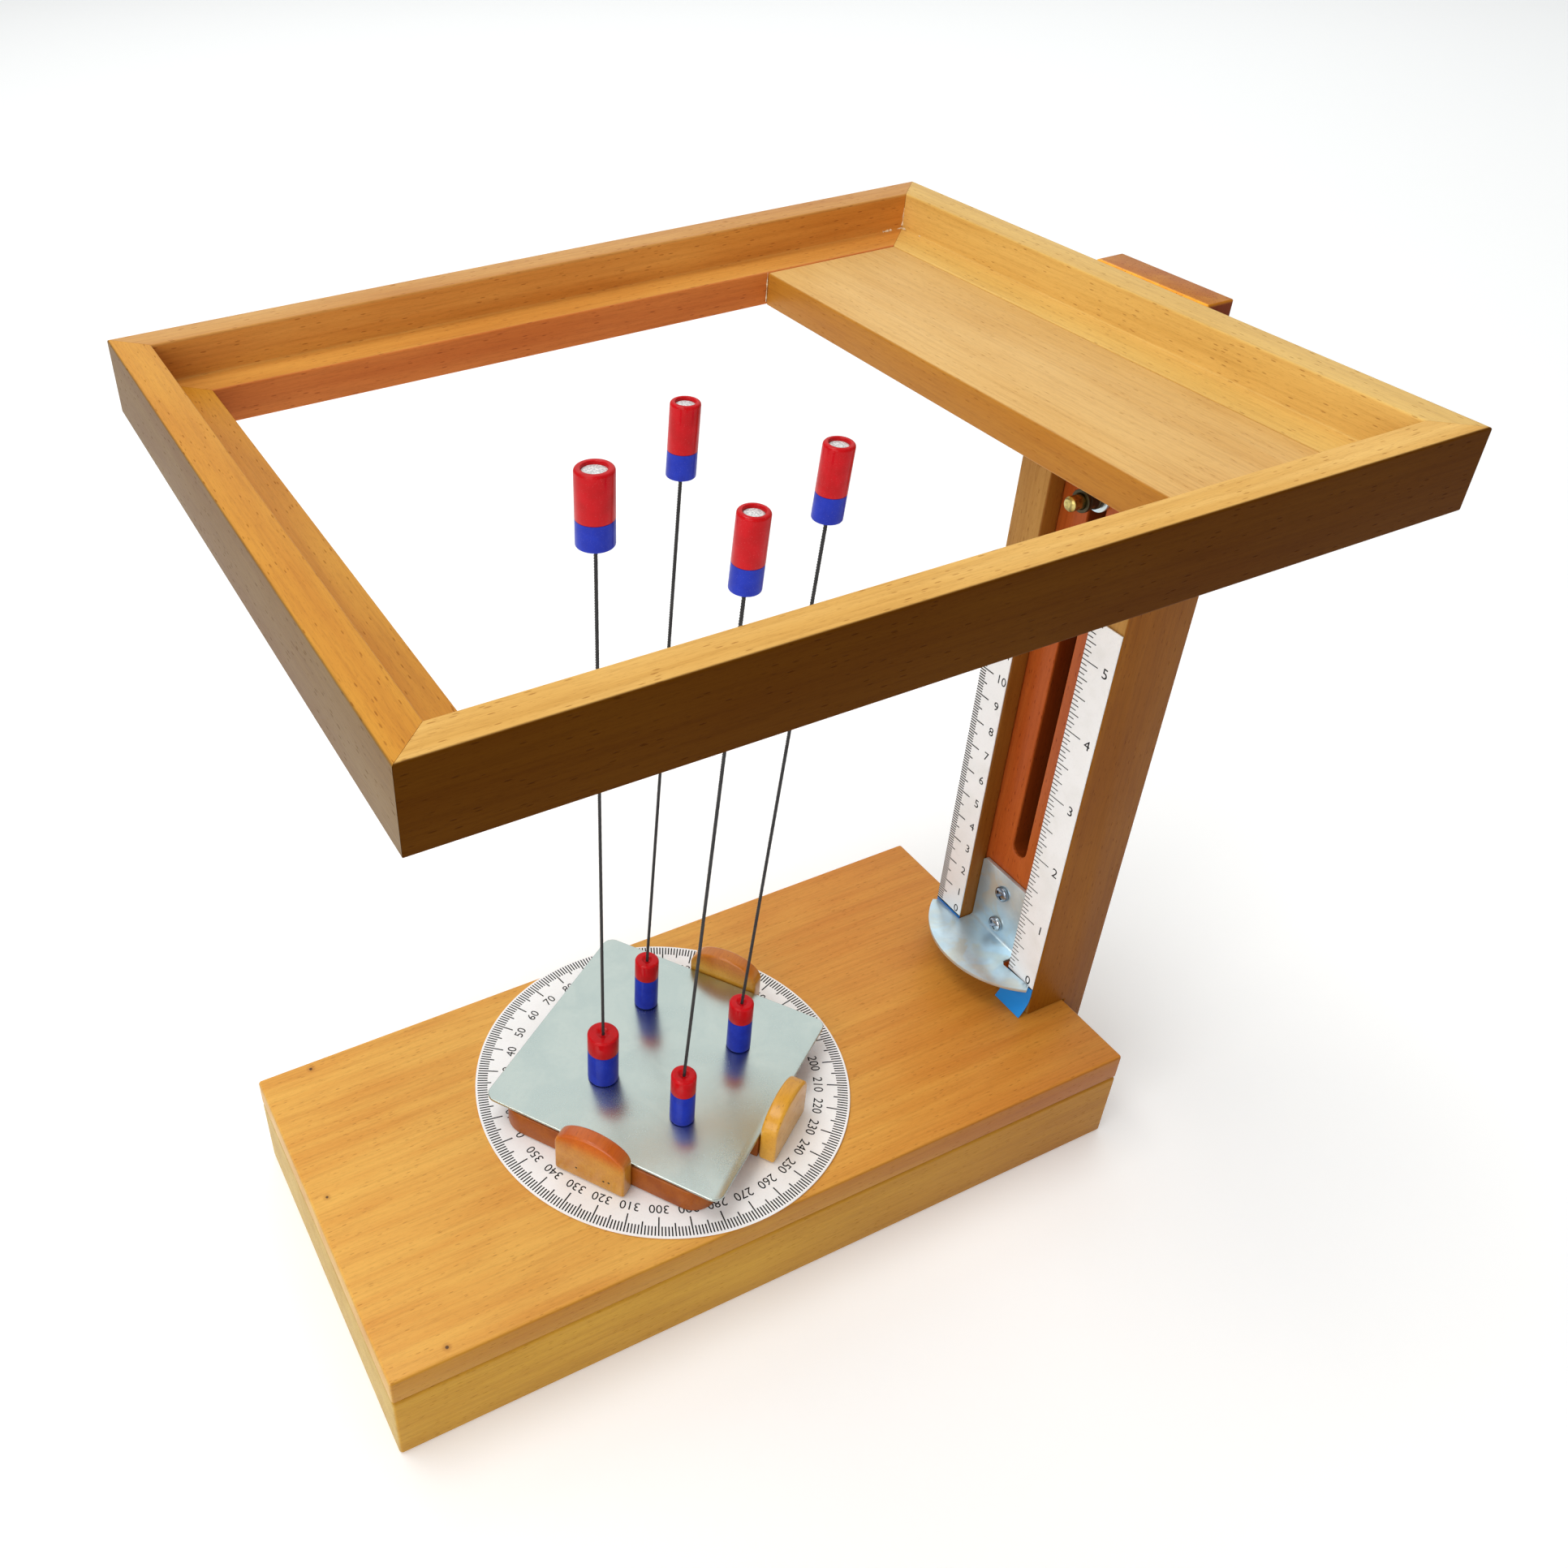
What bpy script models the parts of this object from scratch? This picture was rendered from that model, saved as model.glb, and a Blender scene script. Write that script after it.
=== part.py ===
"""Adjustable magnet-and-thread loom: a beech bench stand with a dial turntable and a sliding frame.

Axes: +X runs along the base toward the column, +Y across it, +Z up.  The origin is on the table,
under the middle of the whole stand.  Every length is in metres.
"""
import math

import bmesh
import bpy
from mathutils import Matrix, Vector

MM = 0.001
GAP = 0.3 * MM            # clearance between pieces that touch

# Base: two glued boards
BASE_X0 = -135.5 * MM
BASE_X1 = 126.0 * MM
BASE_Y0 = -54.3 * MM
BASE_Y1 = 67.2 * MM
BASE_SEAM_Z = 27.5 * MM
BASE_TOP_Z = 38.3 * MM
BOARD_EDGE = 0.7 * MM

# Turntable, centred on the base's width
TURN_X = -15.3 * MM
TURN_Y = 6.45 * MM
TURN_ANGLE = math.radians(33.5)
DIAL_RADIUS = 61.5 * MM
DIAL_THICK = 0.5 * MM
PIVOT_RADIUS = 3.0 * MM
PIVOT_HEIGHT = 6.5 * MM
BLOCK_X0 = -42.6 * MM     # in the turned axes of the turntable
BLOCK_X1 = 41.2 * MM
BLOCK_HALF_Y = 36.5 * MM
BLOCK_CORNER = 8.0 * MM
BLOCK_THICK = 8.7 * MM
LUG_WIDTH = 24.4 * MM
LUG_THICK = 5.4 * MM
LUG_SHOULDER = 12.3 * MM
LUG_CROWN = 7.0 * MM
LUG_RIGHT_Y = -41.0 * MM
LUG_RIGHT_X = -1.6 * MM
LUG_LEFT_Y = 0.3 * MM
LUG_FAR_Y = -2.0 * MM
PLATE_HALF = 41.4 * MM
PLATE_X = -0.7 * MM
PLATE_Y = 0.7 * MM
PLATE_CORNER = 3.6 * MM
PLATE_THICK = 1.0 * MM

# Tethered magnets
MAGNET_LENGTH = 20.2 * MM
LONG_CAP = 13.0 * MM      # blue on a foot, red on a raised magnet
SLIM_RADIUS = 3.95 * MM
BIG_RADIUS = 5.0 * MM
THREAD_RADIUS = 0.55 * MM
THREAD_TOP_Z = 244.3 * MM
CUP_RADIUS_SHARE = 0.62
CUP_DEPTH = 1.2 * MM

# Column: two grooved rails and a back board, with the slide panel between them
RAIL_FRONT_X = 110.1 * MM
RAIL_BACK_X = 135.5 * MM
RAIL_OUTER_Y = 25.7 * MM
RAIL_INNER_Y = 13.2 * MM
RAIL_TOP_Z = 262.4 * MM
LIP_THICK = 6.1 * MM
PANEL_X0 = 116.5 * MM
PANEL_X1 = 125.3 * MM
PANEL_HALF_Y = 19.2 * MM
PANEL_TOP_Z = 282.0 * MM
SLOT_HALF = 3.2 * MM
SLOT_LOW_Z = 88.2 * MM
SLOT_HIGH_Z = 230.0 * MM

# Scales on the rail fronts
STRIP_THICK = 0.4 * MM
STRIP_TOP_Z = 191.8 * MM
STRIP_FLARE = 3.2 * MM
STRIP_FLARE_Z = 47.0 * MM

# Clamp through the slot
CLAMP_Z = 222.0 * MM
BOLT_RADIUS = 2.2 * MM
BOLT_REACH = 4.3 * MM     # how far the bolt's end stands out of the nut
NUT_BORE = 2.5 * MM
NUT_RADIUS = 3.4 * MM
NUT_LENGTH = 5.6 * MM
WASHER_RADIUS = 4.6 * MM
WASHER_THICK = 1.0 * MM
BREAK = 0.45 * MM         # broken edge on turned metal and magnet ends

# Pointer bracket on the foot of the slide panel
POINTER_Z = 51.7 * MM
POINTER_THICK = 1.2 * MM
POINTER_TOP_Z = 78.6 * MM
POINTER_ARC = 31.0 * MM
POINTER_FRONT_X = 94.1 * MM
POINTER_HALF_Y = 25.3 * MM
SCREW_RADIUS = 2.8 * MM
SCREW_HEIGHT = 1.7 * MM
SCREW_Z = (70.9 * MM, 56.9 * MM)
SCREW_Y = 1.0 * MM

# Frame carried by the slide panel
FRAME_X0 = -128.0 * MM
FRAME_X1 = 116.2 * MM
FRAME_HALF_Y = 97.6 * MM
FRAME_Z0 = 262.9 * MM
FRAME_Z1 = 282.1 * MM
RIM_WIDTH = 9.0 * MM
LEDGE_INNER = 19.9 * MM
LEDGE_Z = 272.1 * MM
SHELF_X0 = 53.1 * MM

DIAL_Z = BASE_TOP_Z + GAP
BLOCK_Z = DIAL_Z + DIAL_THICK + GAP
PLATE_Z = BLOCK_Z + BLOCK_THICK + GAP
FOOT_Z = PLATE_Z + PLATE_THICK + GAP

MAGNETS = (
    # name, radius, foot (x, y), raised end (x, y)
    ("a", BIG_RADIUS, (-35.9 * MM, 8.2 * MM), (-37.7 * MM, 7.9 * MM)),
    ("b", SLIM_RADIUS, (-8.0 * MM, 30.2 * MM), (-2.1 * MM, 28.9 * MM)),
    ("c", SLIM_RADIUS, (9.7 * MM, -0.3 * MM), (17.6 * MM, -8.0 * MM)),
    ("d", SLIM_RADIUS, (-21.7 * MM, -17.8 * MM), (-17.3 * MM, -26.6 * MM)),
)

COLOURS = {
    "beech_top": (0.66, 0.36, 0.12, 1.0),
    "beech_pale": (0.62, 0.40, 0.16, 1.0),
    "beech_red": (0.58, 0.22, 0.07, 1.0),
    "dial_print": (0.86, 0.87, 0.88, 1.0),
    "zinc": (0.50, 0.56, 0.57, 1.0),
    "red_cap": (0.60, 0.01, 0.015, 1.0),
    "blue_cap": (0.03, 0.06, 0.48, 1.0),
    "thread_black": (0.01, 0.01, 0.01, 1.0),
    "brass": (0.62, 0.50, 0.16, 1.0),
    "scale_print": (0.84, 0.85, 0.86, 1.0),
}


def clear_scene():
    """Remove every object that the file starts with."""
    for old in list(bpy.data.objects):
        bpy.data.objects.remove(old, do_unlink=True)


def collection(name):
    """Make a collection in the scene."""
    made = bpy.data.collections.new(name)
    bpy.context.scene.collection.children.link(made)
    return made


def material(name, roughness, metallic=0.0):
    """Make one Principled material of a named colour."""
    made = bpy.data.materials.new(name)
    made.use_nodes = True
    shader = made.node_tree.nodes["Principled BSDF"]
    shader.inputs["Base Color"].default_value = COLOURS[name]
    shader.inputs["Roughness"].default_value = roughness
    shader.inputs["Metallic"].default_value = metallic
    return made


def make_materials():
    """Make all the finishes."""
    return {
        "beech_top": material("beech_top", 0.45),
        "beech_pale": material("beech_pale", 0.5),
        "beech_red": material("beech_red", 0.5),
        "dial_print": material("dial_print", 0.4),
        "scale_print": material("scale_print", 0.4),
        "zinc": material("zinc", 0.32, 0.9),
        "red_cap": material("red_cap", 0.2),
        "blue_cap": material("blue_cap", 0.2),
        "thread_black": material("thread_black", 0.6),
        "brass": material("brass", 0.3, 1.0),
    }


def place(name, mesh, finish, where=Matrix.Identity(4)):
    """Put a mesh in the part's collection as one named object."""
    obj = bpy.data.objects.new(name, mesh)
    obj.matrix_world = where
    mesh.materials.append(FINISH[finish])
    PARTS.objects.link(obj)
    return obj


def box_mesh(name, low, high):
    """Make a box between two corners."""
    mesh = bpy.data.meshes.new(name)
    work = bmesh.new()
    size = [h - l for l, h in zip(low, high)]
    middle = [(l + h) / 2 for l, h in zip(low, high)]
    bmesh.ops.create_cube(work, size=1.0)
    bmesh.ops.scale(work, vec=size, verts=work.verts)
    bmesh.ops.translate(work, vec=middle, verts=work.verts)
    work.to_mesh(mesh)
    work.free()
    return mesh


def bevel(obj, width, segments=1):
    """Break the long edges of a piece."""
    mod = obj.modifiers.new("arris", "BEVEL")
    mod.width = width
    mod.segments = segments
    mod.limit_method = "ANGLE"
    mod.angle_limit = math.radians(50)


def outline_mesh(name, points, thick):
    """Extrude a flat closed outline, from z = 0 up to its thickness."""
    curve = bpy.data.curves.new(name, "CURVE")
    curve.dimensions = "2D"
    curve.fill_mode = "BOTH"
    curve.extrude = thick / 2
    line = curve.splines.new("POLY")
    line.points.add(len(points) - 1)
    for point, (x, y) in zip(line.points, points):
        point.co = (x, y, 0.0, 1.0)
    line.use_cyclic_u = True
    guide = bpy.data.objects.new(name + "_outline", curve)
    bpy.context.scene.collection.objects.link(guide)
    seen = guide.evaluated_get(bpy.context.evaluated_depsgraph_get())
    mesh = bpy.data.meshes.new_from_object(seen)
    bpy.data.objects.remove(guide, do_unlink=True)
    work = bmesh.new()
    work.from_mesh(mesh)
    bmesh.ops.remove_doubles(work, verts=work.verts, dist=1e-6)
    bmesh.ops.translate(work, vec=(0, 0, thick / 2), verts=work.verts)
    bmesh.ops.recalc_face_normals(work, faces=work.faces)
    work.to_mesh(mesh)
    work.free()
    mesh.name = name
    return mesh


def arc(centre, radius, start, stop, steps):
    """Points along an arc, angles in degrees."""
    turn = [math.radians(start + (stop - start) * i / steps) for i in range(steps + 1)]
    return [(centre[0] + radius * math.cos(a), centre[1] + radius * math.sin(a)) for a in turn]


def rounded_rectangle(x0, x1, half_y, corner, steps=6):
    """Outline of a rectangle with round corners."""
    inner = half_y - corner
    points = []
    for number, (cx, cy) in enumerate(((x1 - corner, inner), (x0 + corner, inner),
                                       (x0 + corner, -inner), (x1 - corner, -inner))):
        start = 90 * number
        points += arc((cx, cy), corner, start, start + 90, steps)
    return points


def turned_mesh(name, profile, steps=32):
    """Turn a closed (radius, height) profile around Z."""
    mesh = bpy.data.meshes.new(name)
    work = bmesh.new()
    verts = [work.verts.new((r, 0.0, z)) for r, z in profile]
    edges = [work.edges.new(pair) for pair in zip(verts, verts[1:])]
    solid_axis = profile[0][0] < 1e-9 and profile[-1][0] < 1e-9
    if not solid_axis:
        edges.append(work.edges.new((verts[-1], verts[0])))
    bmesh.ops.spin(work, geom=verts + edges, cent=(0, 0, 0), axis=(0, 0, 1),
                   angle=2 * math.pi, steps=steps, use_merge=True)
    bmesh.ops.remove_doubles(work, verts=work.verts, dist=1e-7)
    bmesh.ops.recalc_face_normals(work, faces=work.faces)
    work.to_mesh(mesh)
    work.free()
    mesh.shade_smooth()
    mesh.set_sharp_from_angle(angle=math.radians(35))
    return mesh


def cut(obj, cutter_mesh, where=Matrix.Identity(4)):
    """Subtract a cutter from a piece."""
    cutter = bpy.data.objects.new(obj.name + "_cutter", cutter_mesh)
    cutter.matrix_world = where
    cutter.hide_render = True
    cutter.display_type = "WIRE"
    CUTTERS.objects.link(cutter)
    mod = obj.modifiers.new("cut", "BOOLEAN")
    mod.operation = "DIFFERENCE"
    mod.object = cutter


def along_x(x, y, z):
    """Turn a local Z axis to point along -X, at a place."""
    return Matrix.Translation((x, y, z)) @ Matrix.Rotation(math.radians(-90), 4, "Y")


def turn_frame(x=0.0, y=0.0, z=0.0):
    """A place given in the turned axes of the turntable."""
    hub = Matrix.Translation((TURN_X, TURN_Y, 0)) @ Matrix.Rotation(TURN_ANGLE, 4, "Z")
    return hub @ Matrix.Translation((x, y, z))


def make_base():
    """Lower and upper boards of the base."""
    lower = place("base_lower_board", box_mesh("lower", (BASE_X0, BASE_Y0, 0),
                  (BASE_X1, BASE_Y1, BASE_SEAM_Z)), "beech_pale")
    upper = place("base_upper_board", box_mesh("upper", (BASE_X0, BASE_Y0, BASE_SEAM_Z + GAP),
                  (BASE_X1, BASE_Y1, BASE_TOP_Z)), "beech_top")
    bevel(lower, BOARD_EDGE)
    bevel(upper, BOARD_EDGE)


def make_dial():
    """Printed round dial and the pivot pin that stands in its middle."""
    rim = DIAL_RADIUS
    bore = PIVOT_RADIUS + GAP
    profile = [(bore, 0), (rim, 0), (rim, DIAL_THICK), (bore, DIAL_THICK)]
    place("dial_disc", turned_mesh("dial", profile, 72), "dial_print",
          Matrix.Translation((TURN_X, TURN_Y, DIAL_Z)))
    pin = [(0, 0), (PIVOT_RADIUS, 0), (PIVOT_RADIUS, PIVOT_HEIGHT), (0, PIVOT_HEIGHT)]
    place("turntable_pivot", turned_mesh("pivot", pin, 24), "zinc",
          Matrix.Translation((TURN_X, TURN_Y, DIAL_Z)))


def make_turntable():
    """Block with round corners, three lugs and the pivot's blind hole."""
    block = place("turntable_block", outline_mesh("block", rounded_rectangle(BLOCK_X0, BLOCK_X1,
                  BLOCK_HALF_Y, BLOCK_CORNER), BLOCK_THICK), "beech_red", turn_frame(z=BLOCK_Z))
    bore = PIVOT_RADIUS + GAP
    depth = DIAL_Z + PIVOT_HEIGHT + GAP
    hole = [(0, -1 * MM), (bore, -1 * MM), (bore, depth - BLOCK_Z), (0, depth - BLOCK_Z)]
    cut(block, turned_mesh("hole", hole, 24), turn_frame(z=BLOCK_Z))
    half = LUG_WIDTH / 2
    place("lug_spacer", box_mesh("spacer", (LUG_RIGHT_X - half, LUG_RIGHT_Y + GAP, 0),
          (LUG_RIGHT_X + half, -BLOCK_HALF_Y - GAP, BLOCK_THICK)), "beech_red",
          turn_frame(z=BLOCK_Z))
    make_lug("lug_left", 180, GAP - BLOCK_X0, -LUG_LEFT_Y)
    make_lug("lug_right", 270, -LUG_RIGHT_Y, LUG_RIGHT_X)
    make_lug("lug_far", 0, BLOCK_X1 + GAP, LUG_FAR_Y)


def make_lug(name, side, reach, shift):
    """One half-round lug that stands on edge beside the block; its arch rises past the plate."""
    half = LUG_WIDTH / 2
    arch = [(-half, 0.0), (half, 0.0)]
    steps = 12
    for i in range(steps + 1):
        turn = math.pi * i / steps
        arch.append((half * math.cos(turn), LUG_SHOULDER + LUG_CROWN * math.sin(turn)))
    stand = Matrix(((0, 0, 1, 0), (1, 0, 0, 0), (0, 1, 0, 0), (0, 0, 0, 1)))
    side_turn = Matrix.Rotation(math.radians(side), 4, "Z")
    where = turn_frame(z=BLOCK_Z) @ side_turn @ Matrix.Translation((reach, shift, 0))
    lug = place(name, outline_mesh(name, arch, LUG_THICK), "beech_top", where @ stand)
    bevel(lug, 0.5 * MM)


def make_plate():
    """Steel plate that slides in between the lugs."""
    outline = rounded_rectangle(-PLATE_HALF, PLATE_HALF, PLATE_HALF, PLATE_CORNER, 4)
    place("steel_plate", outline_mesh("plate", outline, PLATE_THICK), "zinc",
          turn_frame(PLATE_X, PLATE_Y, PLATE_Z))


def make_magnets():
    """Four tethered magnets: a two-colour foot, a taut thread and a two-colour raised magnet."""
    length = MAGNET_LENGTH
    for tag, radius, foot, raised in MAGNETS:
        split = LONG_CAP
        at = Matrix.Translation((foot[0], foot[1], FOOT_Z))
        edge = BREAK
        blue = [(0, 0), (radius - edge, 0), (radius, edge), (radius, split), (0, split)]
        place("foot_blue_" + tag, turned_mesh("foot_blue", blue), "blue_cap", at)
        dimple = radius * 0.45
        red = [(0, split + GAP), (radius, split + GAP), (radius, length - edge),
               (radius - edge, length), (dimple, length), (THREAD_RADIUS, length - CUP_DEPTH),
               (0, length - CUP_DEPTH)]
        place("foot_red_" + tag, turned_mesh("foot_red", red), "red_cap", at)
        start = Vector((foot[0], foot[1], FOOT_Z + length - CUP_DEPTH + GAP))
        stop = Vector((raised[0], raised[1], THREAD_TOP_Z))
        run = stop - start
        turn = run.to_track_quat("Z", "Y").to_matrix().to_4x4()
        thread = [(0, 0), (THREAD_RADIUS, 0), (THREAD_RADIUS, run.length), (0, run.length)]
        place("thread_" + tag, turned_mesh("thread", thread, 10), "thread_black",
              Matrix.Translation(start) @ turn)
        top = Matrix.Translation(stop) @ turn @ Matrix.Translation((0, 0, GAP))
        low = length - LONG_CAP
        blue = [(0, 0), (radius - edge, 0), (radius, edge), (radius, low), (0, low)]
        place("top_blue_" + tag, turned_mesh("top_blue", blue), "blue_cap", top)
        cup = radius * CUP_RADIUS_SHARE
        red = [(0, low + GAP), (radius, low + GAP), (radius, length - edge),
               (radius - edge, length), (cup, length), (cup, length - CUP_DEPTH),
               (0, length - CUP_DEPTH)]
        place("top_red_" + tag, turned_mesh("top_red", red), "red_cap", top)


def make_rail(name, side):
    """A column rail: a lip in front of the panel, a wall beside it, and a leg behind the base."""
    inner = RAIL_INNER_Y
    wall = PANEL_HALF_Y + GAP
    lip = RAIL_FRONT_X + LIP_THICK
    section = [(RAIL_FRONT_X, inner), (lip, inner), (lip, wall), (RAIL_BACK_X, wall),
               (RAIL_BACK_X, RAIL_OUTER_Y), (RAIL_FRONT_X, RAIL_OUTER_Y)]
    section = [(x, y * side) for x, y in section]
    rail = place(name, outline_mesh(name, section, RAIL_TOP_Z), "beech_top")
    reach = 2 * RAIL_OUTER_Y
    seat = box_mesh("seat", (0, -reach, -10 * MM), (BASE_X1 + GAP, reach, BASE_TOP_Z + GAP))
    cut(rail, seat)


def make_column():
    """Two rails with the back board between them."""
    make_rail("column_rail_left", 1)
    make_rail("column_rail_right", -1)
    back = place("column_back_board", box_mesh("back", (BASE_X1 + GAP, -PANEL_HALF_Y, 0),
                 (RAIL_BACK_X, PANEL_HALF_Y, RAIL_TOP_Z)), "beech_top")
    hole = [(0, -2 * MM), (BOLT_RADIUS + GAP, -2 * MM), (BOLT_RADIUS + GAP, 7 * MM), (0, 7 * MM)]
    facing = Matrix.Translation((BASE_X1 + GAP, 0, CLAMP_Z)) @ Matrix.Rotation(math.radians(90), 4, "Y")
    cut(back, turned_mesh("bolt_hole", hole, 20), facing)


def make_scales():
    """Printed strips on the rail fronts; the inch strip's foot flares off the wood."""
    front = RAIL_FRONT_X - GAP
    low = BASE_TOP_Z + GAP
    inset = 0.2 * MM
    y0 = RAIL_INNER_Y + inset
    y1 = RAIL_OUTER_Y - inset
    place("scale_cm", box_mesh("scale_cm", (front - STRIP_THICK, y0, low), (front, y1, STRIP_TOP_Z)),
          "scale_print")
    steps = 5
    back = []
    for i in range(steps + 1):
        share = i / steps
        z = STRIP_FLARE_Z + (low - STRIP_FLARE_Z) * share
        back.append((front - STRIP_FLARE * share * share, z))
    profile = [(front, STRIP_TOP_Z)] + back
    profile += [(x - STRIP_THICK, z) for x, z in reversed(back)]
    profile += [(front - STRIP_THICK, STRIP_TOP_Z)]
    upright = Matrix(((1, 0, 0, 0), (0, 0, -1, -y0), (0, 1, 0, 0), (0, 0, 0, 1)))
    place("scale_inch", outline_mesh("scale_inch", profile, y1 - y0), "scale_print", upright)


def slot_outline():
    """Outline of the long slot, x across and y up."""
    low = (0, SLOT_LOW_Z + SLOT_HALF)
    high = (0, SLOT_HIGH_Z - SLOT_HALF)
    return arc(high, SLOT_HALF, 0, 180, 8) + arc(low, SLOT_HALF, 180, 360, 8)


def make_panel():
    """Slotted panel that slides in the rails' grooves."""
    low = BASE_TOP_Z + 0.5 * MM
    panel = place("slide_panel", box_mesh("panel", (PANEL_X0, -PANEL_HALF_Y, low),
                  (PANEL_X1, PANEL_HALF_Y, PANEL_TOP_Z)), "beech_red")
    upright = Matrix(((0, 0, 1, PANEL_X0 - 5 * MM), (1, 0, 0, 0), (0, 1, 0, 0), (0, 0, 0, 1)))
    cut(panel, outline_mesh("slot", slot_outline(), 20 * MM), upright)


def make_clamp():
    """Bolt set in the back board; washer and thumb nut in front of the panel."""
    face = PANEL_X0 - GAP
    seat = face - WASHER_THICK - GAP
    bolt_tip = seat - NUT_LENGTH - BOLT_REACH
    bolt_end = BASE_X1 + GAP + 6 * MM
    span = bolt_end - bolt_tip
    bolt = [(0, 0), (BOLT_RADIUS, 0), (BOLT_RADIUS, span - BREAK), (BOLT_RADIUS - BREAK, span),
            (0, span)]
    place("clamp_bolt", turned_mesh("bolt", bolt, 20), "brass", along_x(bolt_end, 0, CLAMP_Z))
    washer = [(NUT_BORE, 0), (WASHER_RADIUS, 0), (WASHER_RADIUS, WASHER_THICK),
              (NUT_BORE, WASHER_THICK)]
    place("clamp_washer", turned_mesh("washer", washer, 28), "zinc", along_x(face, 0, CLAMP_Z))
    nut = [(NUT_BORE, 0), (NUT_RADIUS - BREAK, 0), (NUT_RADIUS, BREAK),
           (NUT_RADIUS, NUT_LENGTH - BREAK), (NUT_RADIUS - BREAK, NUT_LENGTH),
           (NUT_BORE, NUT_LENGTH)]
    place("clamp_nut", turned_mesh("nut", nut, 28), "brass", along_x(seat, 0, CLAMP_Z))


def pointer_outline():
    """Half-moon of the pointer with its tongue into the channel, seen from above."""
    centre_x = POINTER_FRONT_X + POINTER_ARC
    back = RAIL_FRONT_X - GAP - STRIP_THICK - GAP
    sweep = math.degrees(math.asin(POINTER_HALF_Y / POINTER_ARC))
    points = arc((centre_x, 0), POINTER_ARC, 180 - sweep, 180 + sweep, 20)
    tongue_left = RAIL_INNER_Y - GAP
    tongue_right = -10.9 * MM
    wall = PANEL_X0 - GAP
    points += [(back, -POINTER_HALF_Y + 1.2 * MM), (back - 1.0 * MM, tongue_right - 1.5 * MM),
               (back, tongue_right), (wall, tongue_right), (wall, tongue_left),
               (back, tongue_left), (back, POINTER_HALF_Y - 1.2 * MM)]
    return points


def make_pointer():
    """Bent zinc bracket and its two pan-head screws."""
    flat = place("pointer_bracket", outline_mesh("pointer", pointer_outline(), POINTER_THICK), "zinc",
                 Matrix.Translation((0, 0, POINTER_Z - POINTER_THICK)))
    wall = PANEL_X0 - GAP
    up = box_mesh("upright", (wall - POINTER_THICK, -10.9 * MM, POINTER_Z - POINTER_THICK / 2),
                  (wall, RAIL_INNER_Y - GAP, POINTER_TOP_Z))
    tool = bpy.data.objects.new("pointer_upright_cutter", up)
    tool.hide_render = True
    tool.display_type = "WIRE"
    CUTTERS.objects.link(tool)
    mod = flat.modifiers.new("bend", "BOOLEAN")
    mod.operation = "UNION"
    mod.object = tool
    head = [(0, 0), (SCREW_RADIUS, 0), (SCREW_RADIUS, SCREW_HEIGHT * 0.45)]
    for i in range(1, 5):
        turn = math.radians(90 * i / 5)
        head.append((SCREW_RADIUS * math.cos(turn), SCREW_HEIGHT * (0.45 + 0.55 * math.sin(turn))))
    head.append((0, SCREW_HEIGHT))
    face = wall - POINTER_THICK - GAP
    for name, z in zip(("pointer_screw_upper", "pointer_screw_lower"), SCREW_Z):
        place(name, turned_mesh(name, head, 24), "zinc", along_x(face, SCREW_Y, z))


def make_frame_rail(name, angle, middle, half_length):
    """One rabbeted rail of the frame with mitred ends; its outer face stands at local y = 0."""
    section = [(0, FRAME_Z0), (LEDGE_INNER, FRAME_Z0), (LEDGE_INNER, LEDGE_Z), (RIM_WIDTH, LEDGE_Z),
               (RIM_WIDTH, FRAME_Z1), (0, FRAME_Z1)]
    mesh = outline_mesh(name, section, 2 * half_length)
    lay = Matrix(((0, 0, 1, -half_length), (1, 0, 0, 0), (0, 1, 0, 0), (0, 0, 0, 1)))
    mesh.transform(lay)
    work = bmesh.new()
    work.from_mesh(mesh)
    for side in (-1, 1):
        start = Vector((side * (half_length - GAP / 2), 0, 0))
        normal = Vector((side, 1, 0)).normalized()
        geometry = work.verts[:] + work.edges[:] + work.faces[:]
        done = bmesh.ops.bisect_plane(work, geom=geometry, plane_co=start, plane_no=normal,
                                      clear_outer=True, dist=1e-7)
        rim = [e for e in done["geom_cut"] if isinstance(e, bmesh.types.BMEdge)]
        bmesh.ops.holes_fill(work, edges=rim, sides=0)
    bmesh.ops.recalc_face_normals(work, faces=work.faces)
    work.to_mesh(mesh)
    work.free()
    where = Matrix.Translation((middle[0], middle[1], 0)) @ Matrix.Rotation(math.radians(angle), 4, "Z")
    rail = place(name, mesh, "beech_top", where)
    bevel(rail, 0.4 * MM)


def make_frame():
    """Four mitred rails and the shelf board."""
    middle_x = (FRAME_X0 + FRAME_X1) / 2
    half_x = (FRAME_X1 - FRAME_X0) / 2
    make_frame_rail("frame_rail_near", 0, (middle_x, -FRAME_HALF_Y), half_x)
    make_frame_rail("frame_rail_right", 90, (FRAME_X1, 0), FRAME_HALF_Y)
    make_frame_rail("frame_rail_far", 180, (middle_x, FRAME_HALF_Y), half_x)
    make_frame_rail("frame_rail_left", 270, (FRAME_X0, 0), FRAME_HALF_Y)
    edge = LEDGE_INNER + GAP
    shelf = place("frame_shelf", box_mesh("shelf", (SHELF_X0, -FRAME_HALF_Y + edge, FRAME_Z0),
                  (FRAME_X1 - edge, FRAME_HALF_Y - edge, LEDGE_Z)), "beech_top")
    bevel(shelf, 0.4 * MM)


clear_scene()
PARTS = collection("magnet_thread_loom")
CUTTERS = collection("cutters")
FINISH = make_materials()
make_base()
make_dial()
make_turntable()
make_plate()
make_magnets()
make_column()
make_scales()
make_panel()
make_clamp()
make_pointer()
make_frame()
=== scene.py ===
"""Looks of the magnet-and-thread loom: beech, zinc, print, magnets and threads around a fixed frame.

Axes are the frame's own: +X along the base toward the column, +Y across it, +Z up, in metres.
"""
import logging
import math
from dataclasses import dataclass, field
from enum import Enum
from typing import Any, Callable, Sequence

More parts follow.
